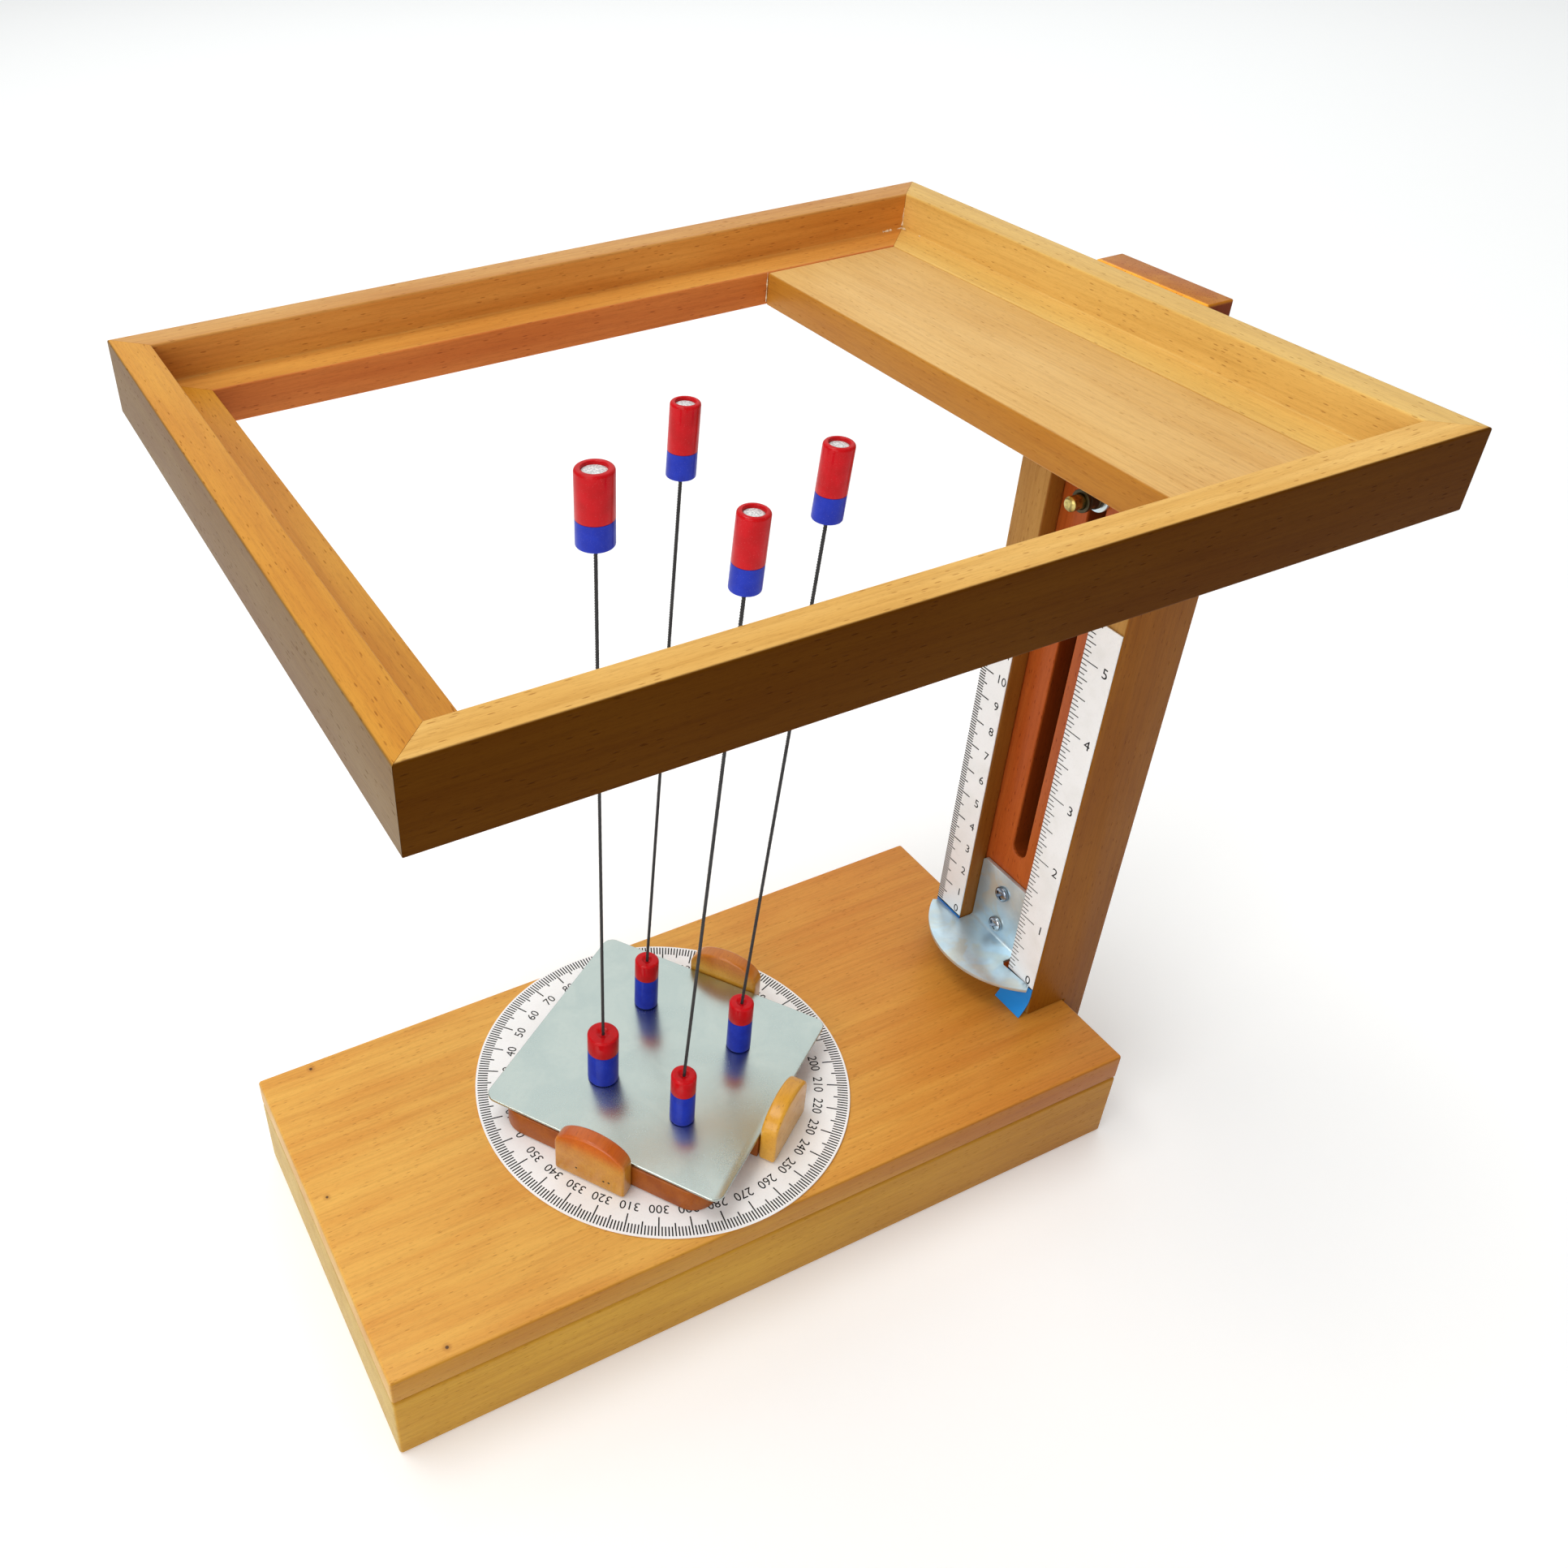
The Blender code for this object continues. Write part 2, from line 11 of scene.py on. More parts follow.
import bmesh
import bpy
from mathutils import Matrix, Vector


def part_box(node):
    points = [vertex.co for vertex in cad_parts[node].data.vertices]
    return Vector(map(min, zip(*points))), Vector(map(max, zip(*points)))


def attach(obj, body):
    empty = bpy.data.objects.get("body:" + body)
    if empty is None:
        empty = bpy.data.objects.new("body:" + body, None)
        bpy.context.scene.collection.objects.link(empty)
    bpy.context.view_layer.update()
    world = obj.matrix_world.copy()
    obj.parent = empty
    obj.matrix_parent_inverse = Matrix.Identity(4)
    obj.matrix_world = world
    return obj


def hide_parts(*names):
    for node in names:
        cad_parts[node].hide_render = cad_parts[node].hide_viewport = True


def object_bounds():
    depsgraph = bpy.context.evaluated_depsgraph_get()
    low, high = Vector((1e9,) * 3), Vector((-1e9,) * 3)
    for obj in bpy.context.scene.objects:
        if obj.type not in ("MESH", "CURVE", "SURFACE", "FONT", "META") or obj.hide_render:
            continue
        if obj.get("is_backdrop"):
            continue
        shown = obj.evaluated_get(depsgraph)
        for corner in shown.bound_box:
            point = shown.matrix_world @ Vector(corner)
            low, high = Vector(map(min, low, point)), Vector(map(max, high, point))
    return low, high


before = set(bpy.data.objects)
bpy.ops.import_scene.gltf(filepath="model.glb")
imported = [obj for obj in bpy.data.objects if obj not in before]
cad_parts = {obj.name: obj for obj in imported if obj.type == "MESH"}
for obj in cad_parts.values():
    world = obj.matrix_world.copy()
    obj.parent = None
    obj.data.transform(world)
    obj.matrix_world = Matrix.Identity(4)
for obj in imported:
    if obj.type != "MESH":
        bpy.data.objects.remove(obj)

MM = 0.001
HAIR = 0.03 * MM                    # height of printed ink above its card
TURN_ANGLE = math.radians(33.5)     # how far the turntable stands turned
# local X to +Y, local Y up and local Z to +X
STANDING = Matrix(((0, 0, 1, 0), (1, 0, 0, 0), (0, 1, 0, 0), (0, 0, 0, 1)))
LOG = logging.getLogger("loom")

Colour = tuple[float, float, float]
Point = tuple[float, float]


class Grain(Enum):
    """Which way the grain of a piece runs."""

    LENGTHWISE = "along X"
    CROSSWISE = "along Y"
    UPRIGHT = "along Z"
    TURNED = "along the turned block"


class Signal:
    """One output of a node, with arithmetic on its values."""

    def __init__(self, tree: "NodeTree", socket: bpy.types.NodeSocket) -> None:
        """Wrap a socket of a tree."""
        self.tree = tree
        self.socket = socket

    def _math(self, operation: str, *values: Any) -> "Signal":
        """Add a Math node for one operation."""
        return self.tree.node("ShaderNodeMath", dict(enumerate(values)), operation=operation)

    def __add__(self, other: Any) -> "Signal":
        """Sum."""
        return self._math("ADD", self, other)

    __radd__ = __add__

    def __sub__(self, other: Any) -> "Signal":
        """Difference."""
        return self._math("SUBTRACT", self, other)

    def __rsub__(self, other: Any) -> "Signal":
        """Difference, from a number."""
        return self._math("SUBTRACT", other, self)

    def __mul__(self, other: Any) -> "Signal":
        """Product."""
        return self._math("MULTIPLY", self, other)

    __rmul__ = __mul__

    def __mod__(self, other: Any) -> "Signal":
        """Remainder."""
        return self._math("MODULO", self, other)

    def __lt__(self, other: Any) -> "Signal":
        """One where the value is smaller, else zero."""
        return self._math("LESS_THAN", self, other)

    def sine(self) -> "Signal":
        """Sine of the value."""
        return self._math("SINE", self)

    def cosine(self) -> "Signal":
        """Cosine of the value."""
        return self._math("COSINE", self)

    def rise(self, low: float, high: float) -> "Signal":
        """Smooth step from 0 at low to 1 at high; a high below low gives a falling step."""
        if high < low:
            return 1.0 - self.rise(high, low)
        return self.tree.node("ShaderNodeMapRange", {"Value": self, "From Min": low, "From Max": high},
                              interpolation_type="SMOOTHSTEP")


class NodeTree:
    """A node tree with one method that makes any node."""

    def __init__(self, tree: bpy.types.NodeTree) -> None:
        """Wrap a Blender node tree."""
        self.tree = tree

    def node(self, kind: str, inputs: dict[Any, Any] | None = None, output: int | str = 0,
             **settings: Any) -> Signal:
        """Make a node.

        Args:
            kind: the node's type name.
            inputs: values or signals, by socket name or number.
            output: which output the result wraps.
            settings: the node's own properties, set before its sockets.

        Returns:
            The chosen output.
        """
        made = self.tree.nodes.new(kind)
        for name, value in settings.items():
            setattr(made, name, value)
        for name, value in (inputs or {}).items():
            self.feed(made.inputs[name], value)
        return Signal(self, made.outputs[output])

    def feed(self, socket: bpy.types.NodeSocket, value: Any) -> None:
        """Link a signal to a socket, or set its value."""
        if isinstance(value, Signal):
            self.tree.links.new(value.socket, socket)
        elif socket.type == "RGBA" and len(value) == 3:
            socket.default_value = (*value, 1.0)
        else:
            socket.default_value = value


class Paint(NodeTree):
    """A material under construction."""

    def __init__(self, name: str) -> None:
        """Start a Principled material of that name."""
        self.material = bpy.data.materials.new(name)
        self.material.use_nodes = True
        super().__init__(self.material.node_tree)
        self.shader = self.tree.nodes["Principled BSDF"]
        self.coordinates = self.node("ShaderNodeTexCoord", output="Object")

    def place(self, angle: tuple[float, float, float] = (0, 0, 0), shift: float = 0.0) -> Signal:
        """Object coordinates in millimetres, turned by an angle and moved off to a fresh stretch."""
        return self.node("ShaderNodeMapping", {"Vector": self.coordinates, "Rotation": angle,
                         "Location": (137 * shift, 71 * shift, 33 * shift), "Scale": (1000, 1000, 1000)})

    def stretch(self, where: Signal, lengths: tuple[float, float, float]) -> Signal:
        """Divide coordinates by three lengths."""
        return self.node("ShaderNodeVectorMath", {0: where, 1: lengths}, operation="DIVIDE")

    def noise(self, where: Signal, lengths: tuple[float, float, float], detail: float = 2.0,
              distortion: float = 0.0) -> Signal:
        """Noise between about 0.2 and 0.8 whose features have the given lengths in millimetres."""
        return self.node("ShaderNodeTexNoise", {"Vector": self.stretch(where, lengths), "Scale": 1.0,
                         "Detail": detail, "Roughness": 0.55, "Distortion": distortion})

    def cells(self, where: Signal, lengths: tuple[float, float, float],
              output: str = "Distance") -> Signal:
        """Scattered cells of the given lengths."""
        return self.node("ShaderNodeTexVoronoi", {"Vector": self.stretch(where, lengths), "Scale": 1.0},
                         output=output)

    def mix(self, share: Any, first: Any, second: Any, kind: str = "MIX") -> Signal:
        """Mix two colours by a share."""
        return self.node("ShaderNodeMix", {0: share, 6: first, 7: second}, output=2,
                         data_type="RGBA", blend_type=kind)

    def axis(self, where: Signal, letter: str) -> Signal:
        """One coordinate of a vector."""
        return self.node("ShaderNodeSeparateXYZ", {0: where}, output=letter)

    def near(self, spot: tuple[float, float, float], radius: float, soft: float) -> Signal:
        """One inside a radius round a spot in metres, fading to zero over the soft length."""
        gap = self.node("ShaderNodeVectorMath", {0: self.coordinates, 1: spot}, output="Value",
                        operation="DISTANCE")
        return gap.rise(radius + soft, radius)

    def relief(self, height: Signal, depth: float, strength: float = 1.0) -> Signal:
        """A bumped normal from a height field that is depth metres tall."""
        return self.node("ShaderNodeBump", {"Strength": strength, "Distance": depth, "Height": height})

    def finish(self, colour: Any, roughness: Any, normal: Signal | None = None,
               **constants: Any) -> bpy.types.Material:
        """Feed the shader and hand over the material.

        Args:
            colour: base colour, constant or varying.
            roughness: roughness, constant or varying.
            normal: a bumped normal, if any.
            constants: other sockets of the shader, with underscores for spaces.

        Returns:
            The finished material.
        """
        self.feed(self.shader.inputs["Base Color"], colour)
        self.feed(self.shader.inputs["Roughness"], roughness)
        if normal is not None:
            self.feed(self.shader.inputs["Normal"], normal)
        for name, value in constants.items():
            self.feed(self.shader.inputs[name.replace("_", " ")], value)
        return self.material


@dataclass(frozen=True)
class Knot:
    """A small dark pin knot at a place on the wood, in metres."""

    spot: tuple[float, float, float]
    radius: float = 0.7 * MM


@dataclass(frozen=True)
class Toning:
    """A second tone that comes in along one axis, between two places in metres."""

    letter: str
    start: float
    stop: float
    tone: Colour

    @classmethod
    def on_face(cls, node: str, side: str, tone: Colour, deep: float = 0.6 * MM,
                skin: float = 0.1 * MM) -> "Toning":
        """Tone one flat face of a piece and leave its other faces alone; in this script that paints
        light, shade or glare onto single faces.

        Args:
            node: the frame's node.
            side: the face's outward axis with its sign, such as -Y.
            tone: what the wood's colour is multiplied by.
            deep: how far under the face the tone starts.
            skin: how far under the face it is full.

        Returns:
            The toning.
        """
        sign, letter = side
        low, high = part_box(node)
        axis = "XYZ".index(letter)
        if sign == "-":
            return cls(letter, low[axis] + deep, low[axis] + skin, tone)
        return cls(letter, high[axis] - deep, high[axis] - skin, tone)


@dataclass(frozen=True)
class Beech:
    """Oiled beech: warm bands, short dark ray flecks along the grain, fine pores and a satin sheen."""

    name: str
    pale: Colour
    deep: Colour
    grain: Grain = Grain.LENGTHWISE
    seed: float = 1.0
    flecks: float = 0.55
    roughness: float = 0.42
    coat: float = 0.04
    sheen: float = 0.22
    knots: tuple[Knot, ...] = ()
    tonings: tuple[Toning, ...] = ()

    def turn(self) -> tuple[float, float, float]:
        """Angles that bring the grain onto local X."""
        return {
            Grain.LENGTHWISE: (0.0, 0.0, 0.0),
            Grain.CROSSWISE: (0.0, 0.0, -math.pi / 2),
            Grain.UPRIGHT: (0.0, math.pi / 2, 0.0),
            Grain.TURNED: (0.0, 0.0, -TURN_ANGLE),
        }[self.grain]

    def build(self) -> bpy.types.Material:
        """Make the material."""
        paint = Paint(self.name)
        wood = paint.place(self.turn(), self.seed)
        cloud = paint.noise(wood, (60, 22, 22), 2.0)
        band = paint.noise(wood, (150, 5.5, 5.5), 3.0, 0.35)
        streak = paint.noise(wood, (24, 0.8, 0.8), 2.0)
        pores = paint.noise(wood, (3.2, 0.22, 0.22), 1.0)
        colour = paint.mix((band * 0.6 + cloud * 0.55).rise(0.36, 0.82), self.pale, self.deep)
        # the tonings paint shade, light and glare onto single faces, and turn the base boards darker and
        # redder toward the column
        for toning in self.tonings:
            place = paint.axis(paint.coordinates, toning.letter)
            colour = paint.mix(place.rise(toning.start, toning.stop), colour, toning.tone, "MULTIPLY")
        colour = paint.mix(streak.rise(0.42, 0.7) * 0.20, colour, (0.55, 0.40, 0.26), "MULTIPLY")
        colour = paint.mix(pores.rise(0.52, 0.70) * 0.16, colour, (0.42, 0.27, 0.16), "MULTIPLY")
        size = paint.cells(wood, (4.2, 0.8, 0.8), "Color")
        chosen = paint.axis(size, "X").rise(0.30, 0.62)
        dash = paint.cells(wood, (4.2, 0.8, 0.8)).rise(0.24, 0.13) * chosen
        small = paint.cells(wood, (2.0, 0.42, 0.42)).rise(0.24, 0.12)
        fleck = dash * self.flecks + small * (self.flecks * 0.35)
        colour = paint.mix(fleck, colour, (0.40, 0.22, 0.11), "MULTIPLY")
        for knot in self.knots:
            mark = paint.near(knot.spot, knot.radius, 0.3 * MM)
            halo = paint.near(knot.spot, knot.radius * 1.8, 1.2 * MM)
            colour = paint.mix(halo * 0.35, colour, (0.45, 0.26, 0.14), "MULTIPLY")
            colour = paint.mix(mark * 0.9, colour, (0.06, 0.025, 0.012))
        height = 0.5 * band - 0.35 * pores - 0.8 * dash
        rough = self.roughness + 0.10 * (cloud - 0.5) + 0.18 * dash + 0.08 * pores
        return paint.finish(colour, rough, paint.relief(height, 0.06 * MM, 0.6),
                            Coat_Weight=self.coat, Coat_Roughness=0.25, Specular_IOR_Level=self.sheen)


@dataclass(frozen=True)
class Zinc:
    """Zinc-plated or cold-rolled steel sheet: cloudy, faintly brushed, with a few scratches."""

    name: str
    bright: Colour
    dull: Colour
    roughness: float = 0.27
    amber: float = 0.0
    heading: float = 0.0
    seed: float = 1.0
    metallic: float = 1.0

    def build(self) -> bpy.types.Material:
        """Make the material."""
        paint = Paint(self.name)
        sheet = paint.place((0, 0, -self.heading), self.seed)
        cloud = paint.noise(sheet, (16, 16, 16), 3.0, 0.6)
        mottle = paint.noise(sheet, (1.6, 1.6, 1.6), 2.0)
        speck = paint.noise(sheet, (0.35, 0.35, 0.35), 1.0)
        brushed = paint.noise(sheet, (38, 0.35, 0.35), 2.0)
        colour = paint.mix(cloud.rise(0.32, 0.68), self.bright, self.dull)
        colour = paint.mix(mottle.rise(0.40, 0.75) * 0.30, colour, self.dull)
        if self.amber > 0:
            patch = paint.noise(sheet, (9, 9, 9), 2.0, 0.8).rise(0.44, 0.66)
            colour = paint.mix(patch * self.amber, colour, (0.70, 0.60, 0.36))
            blush = paint.noise(paint.place(shift=self.seed + 3), (12, 12, 12), 2.0).rise(0.5, 0.7)
            colour = paint.mix(blush * self.amber * 0.8, colour, (0.42, 0.55, 0.66))
        tilt = paint.place((0, 0, 0.9), self.seed + 1)
        scratch = paint.cells(tilt, (45, 1.9, 1.9)).rise(0.05, 0.02)
        scratch = scratch * paint.noise(tilt, (30, 8, 8)).rise(0.55, 0.66)
        rough = self.roughness + 0.10 * (cloud - 0.5) + 0.07 * (speck - 0.5) + 0.15 * scratch
        height = brushed * 0.35 + speck * 0.25 - scratch
        return paint.finish(colour, rough, paint.relief(height, 0.01 * MM, 0.5),
                            Metallic=self.metallic)


@dataclass(frozen=True)
class Gloss:
    """Glossy dip-moulded plastic with a faint waviness and specks of dust."""

    name: str
    colour: Colour
    deep: Colour
    roughness: float = 0.40
    coat: float = 0.25

    def build(self) -> bpy.types.Material:
        """Make the material."""
        paint = Paint(self.name)
        skin = paint.place()
        cloud = paint.noise(skin, (4, 4, 4), 2.0)
        ripple = paint.noise(skin, (1.5, 1.5, 3.0), 1.0)
        dust = paint.noise(skin, (0.22, 0.22, 0.22), 0.0).rise(0.70, 0.78)
        colour = paint.mix(cloud.rise(0.3, 0.7), self.colour, self.deep)
        colour = paint.mix(dust * 0.05, colour, (0.8, 0.7, 0.7))
        rough = self.roughness + 0.10 * cloud + 0.25 * dust
        return paint.finish(colour, rough, paint.relief(ripple, 0.03 * MM, 0.3),
                            Coat_Weight=self.coat, Coat_Roughness=0.04, Specular_IOR_Level=0.08)


@dataclass(frozen=True)
class MagnetCore:
    """Sugary white-silver face of a magnet down in its cap."""

    name: str

    def build(self) -> bpy.types.Material:
        """Make the material."""
        paint = Paint(self.name)
        face = paint.place()
        grit = paint.noise(face, (0.5, 0.5, 0.5), 3.0)
        patch = paint.noise(face, (1.6, 1.6, 1.6), 1.0)
        colour = paint.mix(grit.rise(0.40, 0.62), (0.50, 0.52, 0.52), (0.88, 0.88, 0.87))
        colour = paint.mix(patch.rise(0.55, 0.75) * 0.4, colour, (0.40, 0.41, 0.42))
        return paint.finish(colour, 0.35 + 0.3 * grit, paint.relief(grit, 0.15 * MM, 0.7),
                            Metallic=0.25)


@dataclass(frozen=True)
class Yarn:
    """Waxed black thread."""

    name: str

    def build(self) -> bpy.types.Material:
        """Make the material."""
        paint = Paint(self.name)
        fibre = paint.noise(paint.place(), (0.15, 0.15, 1.2), 2.0)
        colour = paint.mix(fibre.rise(0.35, 0.75), (0.006, 0.006, 0.007), (0.035, 0.034, 0.036))
        return paint.finish(colour, 0.42 + 0.2 * fibre, paint.relief(fibre, 0.04 * MM, 0.6))


@dataclass(frozen=True)
class Brass:
    """Turned brass with tarnish in its hollows."""

    name: str
    bright: Colour
    tarnish: Colour
    share: float
    roughness: float = 0.24

    def build(self) -> bpy.types.Material:
        """Make the material."""
        paint = Paint(self.name)
        metal = paint.place()
        stain = paint.noise(metal, (1.8, 1.8, 1.8), 3.0, 0.5)
        rings = paint.noise(metal, (0.12, 3.0, 3.0), 1.0)
        colour = paint.mix(stain.rise(0.75 - self.share, 1.05 - self.share), self.bright, self.tarnish)
        rough = self.roughness + 0.25 * stain * self.share + 0.05 * rings
        return paint.finish(colour, rough, paint.relief(rings, 0.02 * MM, 0.5), Metallic=1.0)


@dataclass(frozen=True)
class Card:
    """White printed card or film, slightly grey and soiled, with a blue foot where it has one."""

    name: str
    white: Colour = (0.86, 0.865, 0.87)
    blue_below: float | None = None
    roughness: float = 0.34
    soil: float = 0.35

    def build(self) -> bpy.types.Material:
        """Make the material."""
        paint = Paint(self.name)
        sheet = paint.place()
        fibre = paint.noise(sheet, (0.7, 0.7, 0.7), 2.0)
        soil = paint.noise(sheet, (14, 14, 14), 3.0, 0.4)
        colour = paint.mix(soil.rise(0.42, 0.78) * self.soil, self.white, (0.66, 0.66, 0.62))
        colour = paint.mix(fibre.rise(0.50, 0.80) * 0.12, colour, (0.55, 0.56, 0.57))
        if self.blue_below is not None:
            height = paint.axis(paint.coordinates, "Z")
            ink = paint.mix(soil.rise(0.4, 0.7), (0.016, 0.27, 0.78), (0.010, 0.18, 0.60))
            edge = 0.05 * MM
            colour = paint.mix(height.rise(self.blue_below + edge, self.blue_below - edge), colour, ink)
        return paint.finish(colour, self.roughness + 0.12 * fibre,
                            paint.relief(fibre, 0.01 * MM, 0.5), Specular_IOR_Level=0.25)


@dataclass(frozen=True)
class Ink:
    """Black printing ink, a little worn."""

    name: str

    def build(self) -> bpy.types.Material:
        """Make the material."""
        paint = Paint(self.name)
        wear = paint.noise(paint.place(), (0.5, 0.5, 0.5), 2.0)
        colour = paint.mix(wear.rise(0.55, 0.85), (0.005, 0.005, 0.006), (0.035, 0.035, 0.037))
        return paint.finish(colour, 0.55 + 0.15 * wear, Specular_IOR_Level=0.15)


@dataclass(frozen=True)
class Glue:
    """Dried white wood glue in the corners."""

    name: str

    def build(self) -> bpy.types.Material:
        """Make the material."""
        paint = Paint(self.name)
        skin = paint.noise(paint.place(), (1.2, 1.2, 1.2), 2.0)
        colour = paint.mix(skin.rise(0.35, 0.7), (0.80, 0.70, 0.52), (0.66, 0.46, 0.24))
        return paint.finish(colour, 0.30 + 0.2 * skin, paint.relief(skin, 0.1 * MM, 0.4))


@dataclass(frozen=True)
class Backdrop:
    """Plain pale floor."""

    name: str
    tone: float = 0.97

    def build(self) -> bpy.types.Material:
        """Make the material."""
        paint = Paint(self.name)
        faint = paint.noise(paint.place(), (900, 900, 900), 1.0)
        low = self.tone - 0.01
        colour = paint.mix(faint, (self.tone,) * 3, (low,) * 3)
        return paint.finish(colour, 0.9, Emission_Color=(1.0, 1.0, 1.0), Emission_Strength=0.13)


class Workshop:
    """Mesh making that all the sub-assemblies share."""

    @staticmethod
    def piece(name: str, mesh: bpy.types.Mesh, finish: bpy.types.Material, body: str, slot: str,
              nodes: Sequence[str] = ()) -> bpy.types.Object:
        """Put a finished mesh in the scene, riding on a body.

        Args:
            name: the piece's name.
            mesh: its mesh, already in place.
            finish: its material.
            body: the body it rides on.
            slot: the record's material slot; not used.
            nodes: the frame's nodes that it stands for.

        Returns:
            The new object.
        """
        mesh.name = name
        mesh.materials.clear()
        mesh.materials.append(finish)
        made = bpy.data.objects.new(name, mesh)
        bpy.context.scene.collection.objects.link(made)
        if nodes:
            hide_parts(*nodes)
        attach(made, body)
        LOG.info("piece %s on %s, %d faces", name, body, len(mesh.polygons))
        return made

    @staticmethod
    def evaluated(obj: bpy.types.Object) -> bpy.types.Mesh:
        """Plain mesh of a helper object with its modifiers applied; the helper is removed."""
        bpy.context.scene.collection.objects.link(obj)
        seen = obj.evaluated_get(bpy.context.evaluated_depsgraph_get())
        mesh = bpy.data.meshes.new_from_object(seen)
        bpy.data.objects.remove(obj, do_unlink=True)
        return mesh

    @staticmethod
    def smooth(mesh: bpy.types.Mesh, degrees: float = 35.0) -> bpy.types.Mesh:
        """Shade a mesh smooth up to an angle."""
        mesh.shade_smooth()
        mesh.set_sharp_from_angle(angle=math.radians(degrees))
        return mesh

    @staticmethod
    def plain(work: bmesh.types.BMesh, name: str) -> bpy.types.Mesh:
        """Turn a bmesh into a mesh without leftover data."""
        work.verts.index_update()
        mesh = bpy.data.meshes.new(name)
        mesh.from_pydata([v.co.copy() for v in work.verts], [],
                         [[v.index for v in f.verts] for f in work.faces])
        work.free()
        return mesh

    @classmethod
    def refined(cls, node: str, radius: float, steps: int = 3) -> bpy.types.Mesh:
        """Copy a node's shape with its arrises rounded.

        Args:
            node: the frame's node.
            radius: how far each arris is worn back.
            steps: facets round each arris.

        Returns:
            The worn mesh.
        """
        work = bmesh.new()
        work.from_mesh(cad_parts[node].data)
        bmesh.ops.remove_doubles(work, verts=work.verts, dist=1e-6)
        bmesh.ops.dissolve_limit(work, angle_limit=math.radians(1.0), verts=work.verts,
                                 edges=work.edges)
        return cls.worn(cls.plain(work, node), radius, steps, 28, 30)

    @classmethod
    def worn(cls, mesh: bpy.types.Mesh, radius: float, steps: int, sharp: float = 40,
             shaded: float = 34) -> bpy.types.Mesh:
        """Round the arrises of a mesh.

        Args:
            mesh: the sharp mesh.
            radius: how far each arris is worn back.
            steps: facets round each arris.
            sharp: the least angle in degrees that counts as an arris.
            shaded: the angle in degrees up to which the result is shaded smooth.

        Returns:
            The worn mesh.
        """
        shape = bpy.data.objects.new("worn", mesh)
        bevel = shape.modifiers.new("arris", "BEVEL")
        bevel.width = radius
        bevel.segments = steps
        bevel.limit_method = "ANGLE"
        bevel.angle_limit = math.radians(sharp)
        return cls.smooth(cls.evaluated(shape), shaded)

    @staticmethod
    def fillet(points: Sequence[Point], radius: float, steps: int = 4) -> list[Point]:
        """Round every corner of a closed outline that has room for it."""
        made: list[Point] = []
        count = len(points)
        for i, here in enumerate(points):
            corner = Vector(here)
            before = Vector(points[i - 1]) - corner
            after = Vector(points[(i + 1) % count]) - corner
            reach = min(radius, before.length * 0.45, after.length * 0.45)
            if before.angle(after) > math.radians(165) or reach < 1e-6:
                made.append(tuple(corner))
                continue
            start = corner + before.normalized() * reach
            stop = corner + after.normalized() * reach
            for k in range(steps + 1):
                t = k / steps
                bend = start * (1 - t) ** 2 + corner * (2 * t * (1 - t)) + stop * t ** 2
                made.append((bend.x, bend.y))
        return made

    @classmethod
    def lathe(cls, profile: Sequence[Point], place: Matrix, steps: int = 48) -> bpy.types.Mesh:
        """Turn a (radius, height) profile that starts and ends on the axis.

        Args:
            profile: the points, bottom to top or back to itself.
            place: where the axis stands.
            steps: facets around.

        Returns:
            A closed smooth mesh, in place.
        """
        work = bmesh.new()
        verts = [work.verts.new((max(r, 0.0), 0.0, z)) for r, z in profile]
        edges = [work.edges.new(pair) for pair in zip(verts, verts[1:])]
        if profile[0][0] > 1e-7:
            edges.append(work.edges.new((verts[-1], verts[0])))
        bmesh.ops.spin(work, geom=verts + edges, cent=(0, 0, 0), axis=(0, 0, 1),
                       angle=2 * math.pi, steps=steps, use_merge=True)
        bmesh.ops.remove_doubles(work, verts=work.verts, dist=1e-7)
        bmesh.ops.recalc_face_normals(work, faces=work.faces)
        bmesh.ops.transform(work, matrix=place, verts=work.verts)
        return cls.smooth(cls.plain(work, "turned"), 32)

    @classmethod
    def slab(cls, outline: Sequence[Point], thick: float, place: Matrix) -> bpy.types.Mesh:
        """Raise a flat outline into a slab.

        Args:
            outline: its corners, in order.
            thick: its thickness, up from z = 0.
            place: where it goes.

        Returns:
            A closed mesh, in place.
        """
        work = bmesh.new()
        base = work.faces.new([work.verts.new((x, y, 0.0)) for x, y in outline])
        raised = bmesh.ops.extrude_face_region(work, geom=[base])
        top = [g for g in raised["geom"] if isinstance(g, bmesh.types.BMVert)]
        bmesh.ops.translate(work, vec=(0, 0, thick), verts=top)
        bmesh.ops.recalc_face_normals(work, faces=work.faces)
        bmesh.ops.transform(work, matrix=place, verts=work.verts)
        return cls.plain(work, "slab")

    @classmethod
    def lettering(cls, words: Sequence[tuple[str, Matrix]], size: float) -> bpy.types.Mesh:
        """Raise numbers as thin ink.

        Args:
            words: each number and its place; it reads along local X with its top toward local Y.
            size: the height of the type's body.

        Returns:
            One mesh of all the numbers.
        """
        work = bmesh.new()
        for text, place in words:
            curve = bpy.data.curves.new("number", "FONT")
            curve.body = text
            curve.size = size
            curve.align_x = "CENTER"
            curve.align_y = "CENTER"
            curve.extrude = HAIR / 2
            curve.resolution_u = 3
            mesh = cls.evaluated(bpy.data.objects.new("number", curve))
            mesh.transform(place)
            work.from_mesh(mesh)
        bmesh.ops.remove_doubles(work, verts=work.verts, dist=1e-7)
        return cls.plain(work, "numbers")

    @classmethod
    def joined(cls, meshes: Sequence[bpy.types.Mesh]) -> bpy.types.Mesh:
        """Several meshes as one."""
        work = bmesh.new()
        for mesh in meshes:
            work.from_mesh(mesh)
        return cls.plain(work, "joined")


